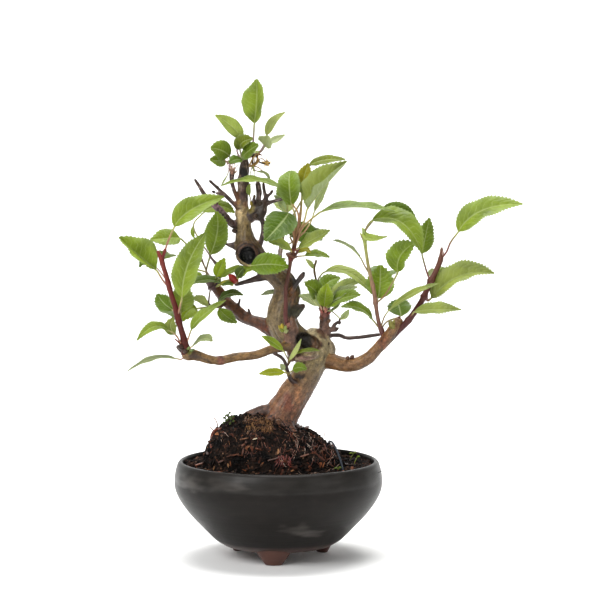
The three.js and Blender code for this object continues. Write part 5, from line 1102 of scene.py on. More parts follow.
def add_leaf(heap, leaf, settings, chance, red, toothed=1.0):
    """Puts a leaf's blade, stalk and midrib into a heap with slots upper, under and stem."""
    stalk, rib, width, tilt, turn, fold, twist, tone = leaf
    base, middle, tip = (true_place(p) for p in rib)
    length = np.linalg.norm(middle - base) + np.linalg.norm(tip - middle)
    count = int(max(FEWEST_ROWS, min(MOST_ROWS, 2 * round(length / settings.tooth))))
    t = np.linspace(0, 1, count + 1)[:, None]
    centre = base * (1 - t) * (1 - 2 * t) + middle * 4 * t * (1 - t) + tip * t * (2 * t - 1)
    tangent = unit(base * (4 * t - 3) + middle * (4 - 8 * t) + tip * (4 * t - 1))
    up = facing(tilt, turn)[None]
    up = unit(up - tangent * (up * tangent).sum(1, keepdims=True))
    swing = np.radians(twist) * (t - 0.5)
    up = up * np.cos(swing) + np.cross(tangent, up) * np.sin(swing)
    across = np.cross(tangent, up)
    half = width / 2 * outline(t)
    columns = 5 if width > WIDE_LEAF else 3
    q = np.linspace(-1, 1, 2 * columns + 1)[None]
    away = np.abs(q)
    phase = chance.uniform(0, 6.28)
    # the halves arch between rib and edge, and the edge waves
    lift = half * away * (math.sin(math.radians(fold)) + ARCH * (1 - away))
    wave = np.sin(t * (5 + 4 * chance.random()) * 2 + phase + q * 1.6) + 0.5 * np.sin(t * 23 + phase * 2 + q)
    lift = lift + settings.wave * (half / 12) * away**2 * wave
    tooth = (np.arange(count + 1) % 2)[:, None] * (away > 0.99)
    spread = half * away * np.sign(q) * math.cos(math.radians(fold))
    deep = toothed * settings.tooth_depth * min(1, 0.2 + width / 26)
    spread = spread + np.sign(q) * tooth * deep * np.minimum(1, half / 4)
    flat = centre[:, None] + across[:, None] * spread[..., None] + up[:, None] * lift[..., None]
    flat = flat + tangent[:, None] * (tooth * settings.tooth * TOOTH_LEAN)[..., None]
    thick = up[:, None] * (settings.blade / 2)
    sides = [side[1:-1].reshape(-1, 3) for side in (flat + thick, flat - thick)]
    uv = np.stack(np.broadcast_arrays((q + 1) / 2, t), -1)[1:-1].reshape(-1, 2)
    uv = np.vstack([uv, uv, [[0.5, 0.0], [0.5, 1.0]]])
    tint = np.array(linear(TONES[tone])) * chance.uniform(0.9, 1.1)
    tops, unders, rims = leaf_faces(count - 1, 2 * columns + 1)
    start = heap.count
    heap.add(np.vstack([*sides, centre[0], centre[-1]]), tops, tint, 0, uv)
    heap.cover(unders, 1, start)
    heap.cover(rims, 0, start)
    # the stalk runs on under the blade as the midrib
    line, _, _ = spine([*[(*p, 1) for p in stalk], (*rib[0], 1)], 1.2)
    ridge = (centre - up * (settings.blade / 2 + 0.15))[2:-2:2]
    stop = len(line) - 1
    radii = [np.full(stop, settings.stalk / 2), np.linspace(settings.stalk / 2, FINE_RIB, len(ridge))]
    radii = np.concatenate(radii) * min(1.0, 0.55 + width / 34)
    places, faces, numbers = tube(np.vstack([line[:-1], ridge]), radii, 6)
    mix = np.clip((numbers - 0.5 * stop) / max(1, 0.6 * stop), 0, 1)[:, None]
    green = np.array(linear("#AEB878")) * 0.6 + tint * 0.4
    heap.add(places, faces, np.array(linear(red)) * (1 - mix) + green * mix, 2)
    return line[0], width


def add_stem(heap, stem, tints, joints):
    """Puts a round stem with a swelling and a small bud at each joint into a heap."""
    line, radii, _ = spine(stem, 1.3)
    for joint, _ in joints:
        away = np.linalg.norm(line - joint, axis=1)
        radii = radii * (1 + SWELLING * np.exp(-((away / SWELLS_OVER) ** 2)))
    places, faces, numbers = tube(line, radii, 9)
    stops = np.array([linear(tint) for tint in tints])
    part = 2 * numbers / (len(line) - 1)
    heap.add(places, faces, np.stack([np.interp(part, [0, 1, 2], stops[:, k]) for k in range(3)], -1), 2)
    for joint, width in joints:
        near = int(np.argmin(np.linalg.norm(line - joint, axis=1)))
        if np.linalg.norm(line[near] - joint) < HOLDS_WITHIN and width > BUD_LEAF:
            tangent = frames(line)[0][near]
            side = unit(joint - line[near] + tangent * 1.6)
            spot = line[near] + side * (radii[near] + 0.5)
            body, shape = ovoid(spot, side + tangent, 2.6, 1.5, sides=7, rows=4, point=0.7)
            heap.add(body, shape, linear("#6E3A30"), 2)


def make_shoot(name, settings, materials):
    """One leafy piece with its stems, leaves and buds."""
    stems, leaves = SHOOTS[name]
    chance = random.Random(name)
    tints, pale, toothed = STEMS.get(name, STEMS["default"])
    heap = Heap()
    joints = [add_leaf(heap, leaf, settings, chance, pale, toothed) for leaf in leaves]
    for stem in stems:
        add_stem(heap, stem, tints, joints)
    return heap.piece(name + "_leaves", materials)


def wood_limbs():
    """Every limb of the wood as (bark, points)."""
    (x, y, z), radius, thick = SCAR_RIM
    whole = np.linspace(0, 2 * math.pi, 17)
    rim = [(x + radius * math.cos(a), y, z + radius * math.sin(a), 2 * thick) for a in whole]
    return [
        ("trunk", TRUNK),
        ("leader", LEADER),
        ("knob", KNOB),
        ("knob", LIP),
        ("stub", STUB),
        ("right", BRANCHES[0]),
        ("left_upper", BRANCHES[1]),
        ("left_lower", BRANCHES[2]),
        *[("twig", twig) for twig in TWIGS],
        *[("root", root) for root in ROOTS],
        ("top", rim),
    ]


def settle(host, name):
    """The host with its modifiers as a plain mesh object, in place of the host."""
    graph = bpy.context.evaluated_depsgraph_get()
    mesh = bpy.data.meshes.new_from_object(host.evaluated_get(graph), depsgraph=graph)
    bpy.data.objects.remove(host)
    return placed(name, mesh)


def corners_of(mesh):
    """A mesh's places in millimetres and its normals."""
    places, normals = np.zeros((2, len(mesh.vertices) * 3))
    mesh.vertices.foreach_get("co", places)
    mesh.vertex_normals.foreach_get("vector", normals)
    return places.reshape(-1, 3) / MM, normals.reshape(-1, 3)


def inside(places, ball):
    """How deep places are in a tilted ellipsoid: under 1 inside it."""
    centre, size, tilt = ball
    away = places - true_place(centre)
    turn = math.radians(tilt)
    x = away[:, 0] * math.cos(turn) - away[:, 2] * math.sin(turn)
    z = away[:, 0] * math.sin(turn) + away[:, 2] * math.cos(turn)
    return np.sqrt((x / size[0]) ** 2 + (away[:, 1] / size[1]) ** 2 + (z / size[2]) ** 2)


def carving(ball):
    """A body to be cut from the wood."""
    centre, size, tilt = ball
    places, faces = ovoid((0, 0, 0), (0, 0, 1), 2, 2, sides=28, rows=16)
    x, y, z = (places * np.array(size)).T
    turn = math.radians(tilt)
    turned = np.stack(
        [x * math.cos(turn) + z * math.sin(turn), y, z * math.cos(turn) - x * math.sin(turn)], -1
    )
    heap = Heap()
    heap.add(turned + true_place(centre), faces)
    return heap.piece("carving", [])


def nearest_limb(places, limbs):
    """For each place: its limb's number, how far along it lies, the angle round it and the limb's radius."""
    best = np.full(len(places), 1e9)
    found = np.zeros((len(places), 4))
    for number, (kind, points) in enumerate(limbs):
        line, radii, along = spine(points, 1.0)
        _, side, across = frames(line)
        # a twig's foot is grown over by the wood it stands on
        if kind == "twig" and len(line) > 12:
            line, radii, along, side, across = (row[7:] for row in (line, radii, along, side, across))
        gaps = (places**2).sum(1)[:, None] + (line**2).sum(1)[None] - 2 * places @ line.T
        gaps = np.sqrt(np.maximum(gaps, 0)) - radii[None]
        near = gaps.argmin(1)
        gap = gaps[np.arange(len(places)), near]
        away = places - line[near]
        turn = np.arctan2((away * across[near]).sum(1), (away * side[near]).sum(1))
        row = np.stack([np.full(len(places), number), along[near], turn, radii[near]], -1)
        closer = gap < best
        best[closer], found[closer] = gap[closer], row[closer]
    return found


# The bark's relief in millimetres: its ridges run along the limb over lumps, with grains and thin flakes
RIDGE_WIDE, RIDGE_LONG, LUMP, GRAIN = 2.4, 10.0, 8.0, 1.2
FLAKE_WIDE, FLAKE_LONG = 0.7, 3.0
# How rough each kind of bark is, where others have the last figure
ROUGH = {"trunk": 0.42, "leader": 0.4, "top": 0.55, "left_upper": 0.45, "stub": 0.6, "twig": 0.42}
ROUGH_OTHERS = 0.34


def make_wood(settings, bark):
    """The trunk, branches, twigs and roots as one body with its relief and its colours."""
    limbs = wood_limbs()
    heap = Heap()
    for kind, points in limbs:
        line, radii, _ = spine(points, 2.0)
        places, faces, _ = tube(line, radii + (0.12 if kind == "twig" else 0.0), 14)
        heap.add(places, faces)
    host = heap.piece("rough_wood", [])
    holes = [carving(ball) for ball in (SCOOP, HOLLOW, SCAR)]
    for kind in ("first", "second"):
        join = host.modifiers.new(kind, "REMESH")
        join.mode = "VOXEL"
        join.voxel_size = settings.voxel * MM
        for hole in holes if kind == "first" else []:
            cut = host.modifiers.new("cut", "BOOLEAN")
            cut.operation, cut.object, cut.solver = "DIFFERENCE", hole, "EXACT"
    ease = host.modifiers.new("ease", "SMOOTH")
    ease.factor, ease.iterations = 0.5, 3
    made = settle(host, "bonsai_wood")
    for hole in holes:
        bpy.data.objects.remove(hole)
    mesh = made.data
    if len(mesh.vertices) < 5000:
        raise RuntimeError("the wood came out empty")
    places, normals = corners_of(mesh)
    where = nearest_limb(places, limbs)
    kinds = [limbs[int(n)][0] for n in where[:, 0]]
    relief, ridge, patch, grain, flake = np.zeros((5, len(places)))
    for k, (number, along, turn, radius) in enumerate(where):
        out, over = math.cos(turn) * radius, math.sin(turn) * radius
        around = Vector((out / RIDGE_WIDE, over / RIDGE_WIDE, along / RIDGE_LONG + number))
        ridge[k] = noise.noise(around) + 0.6 * noise.noise(around * 2.3)
        spot = Vector(places[k])
        patch[k] = noise.noise(spot / 5.0) + 0.6 * noise.noise(spot / 2.2)
        grain[k] = noise.noise(spot / GRAIN)
        power = ROUGH.get(kinds[k], ROUGH_OTHERS) * min(1.0, radius / 3.5)
        lump = noise.noise(spot / LUMP) + 0.5 * noise.noise(spot / 3.5)
        flake[k] = noise.noise(Vector((out / FLAKE_WIDE, over / FLAKE_WIDE, along / FLAKE_LONG + number)))
        relief[k] = settings.relief * power * (ridge[k] + lump + 0.4 * grain[k])
    tones = {key: [np.array(linear(c)) for c in value] for key, value in BARKS.items()}
    dark, main, light = (np.array([tones[kind][n] for kind in kinds]) for n in range(3))
    x, _, z = seen_place(places)
    for below, above, low, high in (("trunk", "leader", 132, 146), ("leader", "top", 196, 226)):
        rise = np.clip((z - low) / (high - low), 0, 1)[:, None] * np.array([[k == below] for k in kinds])
        dark, main, light = (
            old * (1 - rise) + tones[above][n] * rise for n, old in enumerate((dark, main, light))
        )
    body = np.array([kind in ("trunk", "leader", "top", "knob") for kind in kinds])
    # the main colour follows age along the trunk and leader, with painted shade under the leaves at the
    # leader's top
    for kind, stops in AGE_AND_SHADE.items():
        at, shades = [stop[0] for stop in stops], np.array([linear(stop[1]) for stop in stops])
        aged_and_shaded = np.stack([np.interp(where[:, 1], at, shades[:, k]) for k in range(3)], -1)
        main = np.where(np.array([[k == kind] for k in kinds]), 0.25 * main + 0.75 * aged_and_shaded, main)
    crack = np.clip(-ridge * 1.5 - 0.45, 0, 0.8)[:, None]
    pale = np.clip(patch * 1.3 - 0.3, 0, 0.7)[:, None]
    tint = main * (1 - pale) + (0.5 * light + 0.65 * main) * pale
    tint = tint * (1 - crack) + (0.5 * dark + 0.3 * main) * crack
    tint = tint * (1 + 0.3 * grain + 0.24 * ridge + 0.26 * flake)[:, None]
    # bark that faces up and to the left is painted lighter and bark that faces down is painted darker:
    # painted light and shade from the upper left
    painted_light_side = np.clip(0.8 * normals[:, 2] - 0.45 * normals[:, 0], -1, 1)
    slender = np.array([kind in ("twig", "root") for kind in kinds])
    tint = tint * (1 + np.where(slender, 0.25, 0.45) * painted_light_side)[:, None]
    # the foot of the trunk peels in thin red-brown flakes
    peel = np.clip((124 - z) / 12, 0, 1) * np.array([kind in ("trunk", "root") for kind in kinds])
    peel = np.maximum(peel, 0.25 * np.array([kind == "right" for kind in kinds]))
    # pale crusts fleck the twigs and the top of the leader
    crust = np.array([kind == "twig" for kind in kinds]) * (z > 225) + (z > 250) * body
    crust = (np.clip(crust, 0, 1) * np.clip(flake * 3 + patch - 0.9, 0, 0.6))[:, None]
    tint = tint * (1 - crust) + np.array(linear("#A08C86")) * crust
    bright = (peel * np.clip(flake * 2.4 - 0.4, 0, 0.6))[:, None]
    tint = tint * (1 - bright) + np.array(linear("#945B41")) * bright
    relief += 0.25 * peel * flake
    front = normals[:, 1] < 0.3
    # the crack that runs over the large scar's callus
    ring = np.hypot(x - SCAR[0][0], z - SCAR[0][2]) + 0.5 * patch
    split = np.exp(-(((ring - 8.8) / 0.6) ** 2)) * np.clip((z - 217) / 3, 0, 1) * front * body
    relief -= 0.7 * split
    callus = (np.exp(-(((ring - 7.2) / 3) ** 4)) * front * body * 0.9)[:, None]
    corky = np.array(linear("#432A1C")) * (1 + 0.6 * flake + 0.4 * grain)[:, None]
    tint = tint * (1 - callus) + corky * callus
    tint = tint * (1 - 0.75 * split)[:, None]
    for at, up, wide, high, colour, deep in MARKS:
        away = np.hypot((x - at) / wide, (z - up) / high) + 0.4 * patch
        amount = np.clip((1.1 - away) * 1.8, 0, 1) * front
        spread = np.array(linear(colour)) * (1 + 0.5 * grain + 0.4 * ridge)[:, None]
        tint = tint * (1 - amount[:, None]) + spread * amount[:, None]
        relief -= deep * amount * (0.6 + 0.9 * ridge + 0.6 * grain)
    # the large scar and the hollow are painted near black as shade in their recesses, the hollow going over
    # to its own brown towards the right where light reaches in; the shallow scoop keeps its own brown
    for ball, reach, deepest, beyond, edge in (
        (SCOOP, 1.04, "#4E3B2E", "#4E3B2E", 0.07),
        (SCAR, 1.1, "#050504", "#050504", 0.1),
        (HOLLOW, 1.12, "#0A0705", "#4E3320", 0.14),
    ):
        deep = np.clip((reach - inside(places, ball)) / edge, 0, 1)
        right = np.clip((x - ball[0][0] - 0.6) / 3, 0, 0.8)[:, None]
        shown = np.array(linear(deepest)) * (1 - right) + np.array(linear(beyond)) * right
        shown = shown * (1 + 0.7 * grain + 0.7 * patch).clip(0.3)[:, None]
        tint = tint * (1 - deep[:, None]) + shown * deep[:, None]
        relief += 0.5 * deep * (patch + 0.7 * grain)
    places = places + normals * relief[:, None]
    mesh.vertices.foreach_set("co", (places * MM).ravel())
    paint(mesh, tint)
    mesh.materials.clear()
    mesh.materials.append(bark)
    mesh.polygons.foreach_set("use_smooth", [True] * len(mesh.polygons))
    mesh.polygons.foreach_set("material_index", [0] * len(mesh.polygons))
    mesh.update()
    return made


# The soil in millimetres from the pot's axis: how high it is at the rim, how high its mound is and where
# that is highest, where the mound's middle is, how far it reaches left, right and behind, how far the soil
# reaches, and how high its foot is
LEVEL, CREST, CREST_AT, MOUND_AT = 66, 105.5, -15, -3
REACH_LEFT, REACH_RIGHT, REACH_BEHIND, SOIL_EDGE, SOIL_FOOT = 51.5, 50.5, 46, 69.0, 34


def soil_height(x, y):
    """The height of the soil at a place from the pot's axis: flat at the rim, a mound in the middle."""
    reach = np.where(x < MOUND_AT, REACH_LEFT, REACH_RIGHT)
    away = np.hypot((x - MOUND_AT) / reach, y / REACH_BEHIND)
    side = np.where(x < CREST_AT, (CREST_AT - x) * 0.12, (x - CREST_AT) * 0.36)
    crest = CREST - side - np.abs(y) * 0.16
    body = np.where(away < 1, np.maximum(1 - away**4, 0) ** 0.6, 0)
    rough = np.sin(x * 0.31 + y * 0.17) + np.sin(y * 0.43 - x * 0.11 + 1) + np.sin((x + y) * 0.23 + 2)
    return LEVEL + (crest - LEVEL) * body + rough * 0.65


def make_soil(settings, peat):
    """The soil's body, rough with lumps and crumbs."""
    sectors, layers = 300, 84
    turn = circle(sectors)
    part = np.linspace(1, 0, layers + 1)[:-1]
    x = SOIL_EDGE * part[:, None] * np.cos(turn)[None] + MOUND_AT * (1 - part[:, None])
    y = SOIL_EDGE * part[:, None] * np.sin(turn)[None]
    z = soil_height(x, y)
    places = np.stack([x, y, z], -1).reshape(-1, 3)
    ease = np.clip((1 - part) * 14, 0.15, 1).repeat(sectors)
    for k, place in enumerate(places):
        spot = Vector(place)
        lump = noise.noise(spot / 7.5) * 1.7 + noise.noise(spot / 3.4) * 1.1
        crumb = abs(noise.noise(spot / 1.7)) * 1.1 + noise.noise(spot / 0.9) * 0.35
        place[2] += settings.roughness * ease[k] * (lump + crumb - 0.3)
    walls = [
        np.stack([radius * np.cos(turn), radius * np.sin(turn), np.full(sectors, height)], -1)
        for radius, height in ((60, 36), (SOIL_EDGE, 52))
    ]
    crown = [MOUND_AT, 0, float(soil_height(MOUND_AT, 0.0))]
    places = np.vstack([*walls, places, [crown, [0, 0, SOIL_FOOT]]])
    rows = layers + 2
    faces = wall(rows, sectors)
    last, top, floor = (rows - 1) * sectors, rows * sectors, rows * sectors + 1
    for j in range(sectors):
        k = (j + 1) % sectors
        faces += [(last + j, last + k, top), (k, j, floor)]
    heap = Heap()
    heap.add(places + POT_FOOT, faces, linear("#2A1E16"))
    return heap.piece("soil_body", [peat], sharp=180)


def surface_under(x, z):
    """Where the line of sight through layout x and z meets or just misses the soil, from the pot's axis."""
    least, nearest = 1e9, None
    for y in np.arange(-68, 60, 0.5):
        place = true_place((x, y, z)) - POT_FOOT
        over = place[2] - float(soil_height(place[0], place[1]))
        if over < least:
            least, nearest = over, place
        if over <= 0.4:
            break
    return nearest


def crumb_shapes(chance):
    """Six irregular crumbs, 1 mm across."""
    shapes = []
    for _ in range(6):
        places, faces = ovoid((0, 0, 0), (0, 0, 1), 0.9, 1.1, sides=5, rows=2)
        places = places * (1 + 0.35 * (np.array([[chance.random()] for _ in places]) - 0.5))
        shapes.append((places, faces))
    return shapes


def chip_shapes(chance):
    """Six flat splintered chips, 1 mm long."""
    shapes = []
    for _ in range(6):
        line = np.array([[-0.5, 0, 0], [-0.25, 0.03, 0.02], [0.1, -0.03, 0], [0.5, 0.02, 0.03]])
        line = line + np.array([[0, chance.uniform(-0.06, 0.06), chance.uniform(-0.05, 0.05)] for _ in line])
        radii = [chance.uniform(0.08, 0.2) for _ in line]
        places, faces, _ = tube(line, radii, 5, ends=(False, False))
        shapes.append((places * np.array([1, 1, chance.uniform(0.35, 0.7)]), faces))
    return shapes


def fibre_shapes(chance):
    """Eight curled root fibres, about 1 mm long as laid out and later scaled."""
    shapes = []
    for _ in range(8):
        heading, rise = 0.0, chance.uniform(-0.3, 0.5)
        line = [np.zeros(3)]
        for _ in range(9):
            heading += chance.uniform(-0.75, 0.75)
            rise = rise * 0.7 + chance.uniform(-0.35, 0.35)
            line.append(line[-1] + np.array([math.cos(heading), math.sin(heading), rise]) * 0.11)
        line = np.array(line) - np.array([0.45, 0, 0.02])
        places, faces, _ = tube(line, [0.015] * 10, 3, ends=(False, False))
        shapes.append((places, faces))
    return shapes


def scatter_tree():
    """Geometry Nodes that lay pieces from a collection over a surface's upper side."""
    tree = bpy.data.node_groups.new("scatter_litter", "GeometryNodeTree")
    face = tree.interface
    face.new_socket("Geometry", in_out="INPUT", socket_type="NodeSocketGeometry")
    face.new_socket("Shapes", in_out="INPUT", socket_type="NodeSocketCollection")
    for name in ("Count per square metre", "Smallest", "Largest", "Lean"):
        face.new_socket(name, in_out="INPUT", socket_type="NodeSocketFloat")
    face.new_socket("Seed", in_out="INPUT", socket_type="NodeSocketInt")
    face.new_socket("Finish", in_out="INPUT", socket_type="NodeSocketMaterial")
    face.new_socket("Geometry", in_out="OUTPUT", socket_type="NodeSocketGeometry")
    node = partial(add, tree)
    given = node("NodeGroupInput").node.outputs
    height = node("ShaderNodeSeparateXYZ", {0: node("GeometryNodeInputNormal")}, "Z")
    upper = node("FunctionNodeCompare", {0: height, 1: 0.05}, operation="GREATER_THAN")
    weight = node("GeometryNodeInputNamedAttribute", {"Name": "litter"}, data_type="FLOAT")
    density = node(MATH, {0: given["Count per square metre"], 1: weight}, operation="MULTIPLY")
    where = {"Mesh": given["Geometry"], "Selection": upper, "Density": density, "Seed": given["Seed"]}
    spots = node("GeometryNodeDistributePointsOnFaces", where)
    shapes = {"Collection": given["Shapes"], "Separate Children": True, "Reset Children": True}
    shapes = node("GeometryNodeCollectionInfo", shapes)
    lean = node(MATH, {0: given["Lean"], 1: -1.0}, operation="MULTIPLY")
    least = node("ShaderNodeCombineXYZ", {"X": lean, "Y": lean, "Z": 0.0})
    most = node("ShaderNodeCombineXYZ", {"X": given["Lean"], "Y": given["Lean"], "Z": 6.283})
    swing = node(DRAW, {0: least, 1: most, "Seed": given["Seed"]}, data_type="FLOAT_VECTOR")
    swing = node("FunctionNodeEulerToRotation", {0: swing})
    turned = {"Rotation": spots.node.outputs["Rotation"], "Rotate By": swing}
    turned = node("FunctionNodeRotateRotation", turned, rotation_space="LOCAL")
    size = node(DRAW, {2: given["Smallest"], 3: given["Largest"], "Seed": 5}, 1, data_type="FLOAT")
    laid = {"Points": spots, "Instance": shapes, "Pick Instance": True, "Rotation": turned, "Scale": size}
    laid = node("GeometryNodeInstanceOnPoints", laid)
    shade = node(DRAW, {2: 0.0, 3: 1.0, "Seed": 9}, 1, data_type="FLOAT")
    kept = {"Geometry": laid, "Name": "shade", "Value": shade}
    kept = node("GeometryNodeStoreNamedAttribute", kept, data_type="FLOAT", domain="INSTANCE")
    real = node("GeometryNodeRealizeInstances", {0: kept})
    done = node("GeometryNodeSetMaterial", {"Geometry": real, "Material": given["Finish"]})
    node("NodeGroupOutput", {0: done})
    return tree


def scatter(name, tree, surface, shapes, finish, count, smallest, largest, lean, seed, weight):
    """Lays shapes over a surface. Sizes are in millimetres, the count is per square centimetre."""
    box = bpy.data.collections.new(name + "_shapes")
    for k, (places, faces) in enumerate(shapes):
        heap = Heap()
        heap.add(places, faces)
        shape = heap.piece(f"{name}_shape_{k}", [])
        bpy.context.scene.collection.objects.unlink(shape)
        box.objects.link(shape)
    host = placed(name + "_host", surface.data.copy())
    places, _ = corners_of(host.data)
    host.data.attributes.new("litter", "FLOAT", "POINT").data.foreach_set("value", weight(places))
    laying = host.modifiers.new("laying", "NODES")
    laying.node_group = tree
    given = {
        "Shapes": box,
        "Count per square metre": count * 1e4,
        "Smallest": smallest,
        "Largest": largest,
        "Lean": lean,
        "Seed": seed,
        "Finish": finish,
    }
    for item in tree.interface.items_tree:
        if item.in_out == "INPUT" and item.name in given:
            laying[item.identifier] = given[item.name]
    made = settle(host, name)
    for shape in list(box.objects):
        bpy.data.objects.remove(shape)
    bpy.data.collections.remove(box)
    return made


def lathe(profile, sides, centre):
    """A closed turned body from a closed (radius, height) profile that runs outside up, inside down."""
    turn = circle(sides)[None]
    rows = np.array(profile, float)
    x = rows[:, None, 0] * np.cos(turn) + centre[0]
    y = rows[:, None, 0] * np.sin(turn) + centre[1]
    z = np.repeat(rows[:, 1:2], sides, axis=1) + centre[2]
    return np.stack([x, y, z], -1).reshape(-1, 3), wall(len(rows), sides, closed=True)


def make_pot(settings, clay):
    """The pot with its drain hole and its three feet."""
    outside = curve(np.array(POT_OUTSIDE, float), 1.6)
    inner = curve(np.array(POT_INSIDE[::-1], float), 2.5)
    rim = [(70.3, 70.15), (69.6, 69.5)]
    profile = [(DRAIN_RADIUS, 15), (DRAIN_RADIUS, 9.5), *outside, *rim, *inner]
    heap = Heap()
    places, faces = lathe(profile, settings.sides, POT_FOOT)
    heights = places[:, 2]
    body, band, foot, sheen_grey = (np.array(linear(c)) for c in ("#171412", "#201E1C", "#54342A", "#4C453F"))
    # a lighter band where the wall turns in to the rim, a painted highlight along the shoulder, and browner
    # clay underneath
    turned = (np.clip((heights - 55.5) / 2, 0, 1) * np.clip((71 - heights) / 4, 0, 1))[:, None]
    low = np.clip((15 - heights) / 5, 0, 1)[:, None]
    tint = body * (1 - turned) + band * turned
    # clouds in the slip, then painted sheen: a painted reflection low on the front, and painted highlights
    # along the band on the left
    cloud = np.array([noise.noise(Vector((q[0] / 9, q[1] / 9, q[2] / 2.6))) for q in places])[:, None]
    tint = tint * (1 + np.clip(cloud, -0.6, 0.6) * 0.25)
    for at, up, wide, high in SHEEN_CLOUDS:
        away = np.hypot((places[:, 0] - POT_AXIS[0] - at) / wide, (heights - up) / high)[:, None]
        sheen = np.clip(1.1 - away + 0.7 * cloud, 0, 1) * (places[:, 1:2] < 0) * 0.32
        tint = tint * (1 - sheen) + sheen_grey * sheen
    heap.add(places, faces, tint * (1 - 0.6 * low) + foot * 0.6 * low)
    levels = np.array([0, 0.5, 1.4, 4, 7, 9.5, 11.5, 13])
    widths = np.interp(levels, [0, 0.5, 1.4, 9.5, 13], [5.6, 6.3, 6.9, 12.6, 14.6])
    count, sides = len(levels), 40
    place = circle(sides)
    for step in (0, 120, 240):
        turn = math.radians(step + FOOT_TURN)
        layers = []
        for level, wide in zip(levels, widths):
            x, y = wide * np.cos(place), wide * FOOT_DEPTH * np.sin(place) - FOOT_AT
            across = x * math.cos(turn) - y * math.sin(turn) + POT_AXIS[0]
            behind = x * math.sin(turn) + y * math.cos(turn) + POT_AXIS[1]
            layers.append(np.stack([across, behind, np.full(sides, level)], -1))
        low, last = count * sides, (count - 1) * sides
        faces = wall(count, sides) + [(low, (j + 1) % sides, j) for j in range(sides)]
        faces += [(low + 1, last + j, last + (j + 1) % sides) for j in range(sides)]
        heap.add(np.vstack([*layers, layers[0].mean(0), layers[-1].mean(0)]), faces, foot)
    return heap.piece("pot_body", [clay], sharp=60)


def laid_chip(heap, place, length, width, spin, lean, colour, chance):
    """One splintered piece of bark in a heap, lying at a row-frame place."""
    line = np.array([[-0.5, 0, 0], [-0.2, 0.02, 0.02], [0.15, -0.02, 0], [0.5, 0.02, 0.02]])
    line = line + np.array([[0, chance.uniform(-0.05, 0.05), chance.uniform(-0.04, 0.04)] for _ in line])
    radii = [0.42 * chance.uniform(0.7, 1.1) for _ in line]
    places, faces, _ = tube(line * length, np.array(radii) * width, 6, ends=(False, False))
    places = places * np.array([1, 1, 0.5])
    places[:, 2] += places[:, 0] * math.tan(lean)
    turned = places @ np.array(
        [[math.cos(spin), math.sin(spin), 0], [-math.sin(spin), math.cos(spin), 0], [0, 0, 1]]
    )
    heap.add(turned + place, faces, np.array(linear(colour)) * chance.uniform(0.8, 1.2))


def make_chips(finish):
    """The large bark chips: those of the solids, and those that show from the front."""
    chance = random.Random(3)
    heap = Heap()
    state = 41

    def draw():
        """The next of the solids' own random draws, from 0 to 1."""
        nonlocal state
        state = (state * 1664525 + 1013904223) % 2**32
        return state / 2**32

    for _ in range(16):
        turn = draw() * 2 * math.pi
        away = 14 + 48 * math.sqrt(draw())
        x, y = away * math.cos(turn), away * math.sin(turn)
        length, width = 5 + 6 * draw(), 2.5 + 2 * draw()
        lean = (draw() - 0.5) * 0.8
        draw()
        spin = draw() * math.pi
        place = POT_FOOT + np.array([x, y, float(soil_height(x, y)) + 0.4])
        laid_chip(heap, place, length, width, spin, -lean, chance.choice(CHIP_TONES), chance)
    for x, z, length, width, spin, colour in FRONT_CHIPS:
        place = surface_under(x, z) + POT_FOOT + np.array([0, -0.6, 0.5])
        laid_chip(heap, place, length, width, math.radians(spin), 0.25, colour, chance)
    return heap.piece("bark_chips", [finish], sharp=35)


def make_hair_roots(finish):
    """Roots that lie half sunk in the mound, and the fine ones that hang over its front."""
    chance = random.Random(21)
    heap = Heap()
    for points, wide, colour in LAID_ROOTS:
        course = [(x, surface_under(x, z)[1], z - 0.2 * wide, wide) for x, z in points]
        heap.rod(course, 9, np.array(linear(colour)) * chance.uniform(0.8, 1.2))
    for left, right, low, high, count, longest, wide, colours in FINE_ROOTS:
        for _ in range(count):
            x, z = chance.uniform(left, right), chance.uniform(low, high)
            heading = chance.uniform(-2.3, -0.8)
            line = []
            for _ in range(max(4, int(longest * chance.uniform(0.4, 1) / 1.5))):
                spot = surface_under(x, z)
                line.append(spot + POT_FOOT + np.array([0, -0.5, 0.4 + chance.uniform(0, 0.5)]))
                heading += chance.uniform(-0.28, 0.28)
                x, z = x + 1.5 * math.cos(heading), max(64.5, z + 1.5 * math.sin(heading))
                if math.hypot(spot[0], spot[1]) > 64:
                    break
            if len(line) > 3:
                radii = np.linspace(wide / 2, wide / 4, len(line))
                places, faces, _ = tube(np.array(line), radii, 5)
                heap.add(places, faces, linear(chance.choice(colours)))
    return heap.piece("hair_roots", [finish])


def make_sprouts(stem, upper, under, settings):
    """Weed seedlings and moss stalks in the soil."""
    chance = random.Random(8)
    heap = Heap()
    for x, z, height, lean, tone, leaves in SPROUTS:
        foot = surface_under(x, z)
        y, low = foot[1], z - 1.5
        points = [
            (x, y, low, 0.9),
            (x + lean * 0.3, y - 0.4, low + height * 0.5, 0.8),
            (x + lean, y - 0.6, low + height, 0.6),
        ]
        # weeds are green, moss grey-green and dead stalks brown
        moss = tone == "k"
        skin = "#7A5238" if not leaves else "#2E3826" if moss else "#7E8A3A"
        heap.rod(points, 5, linear(skin), slot=2)
        for k in range(leaves):
            side = (-1) ** k * ((0.7 + 0.15 * k) if moss else (1.2 + 0.5 * k))
            across, behind, top = np.array(points[-1][:3]) - (np.array([0, 0, 1.3 * k]) if moss else 0)
            rib = [
                (across, behind, top - 0.4 * k),
                (across + side * 0.7, behind - 0.8, top + 1.0 - 0.4 * k),
                (across + side * 1.6, behind - 1.2, top + 0.8 - 0.6 * k),
            ]
            leaf = ([(across, behind, top)], rib, 1.7, 40, 20 * side, 8, 0, tone)
            add_leaf(heap, leaf, settings, chance, skin)
    return heap.piece("soil_sprouts", [upper, under, stem])


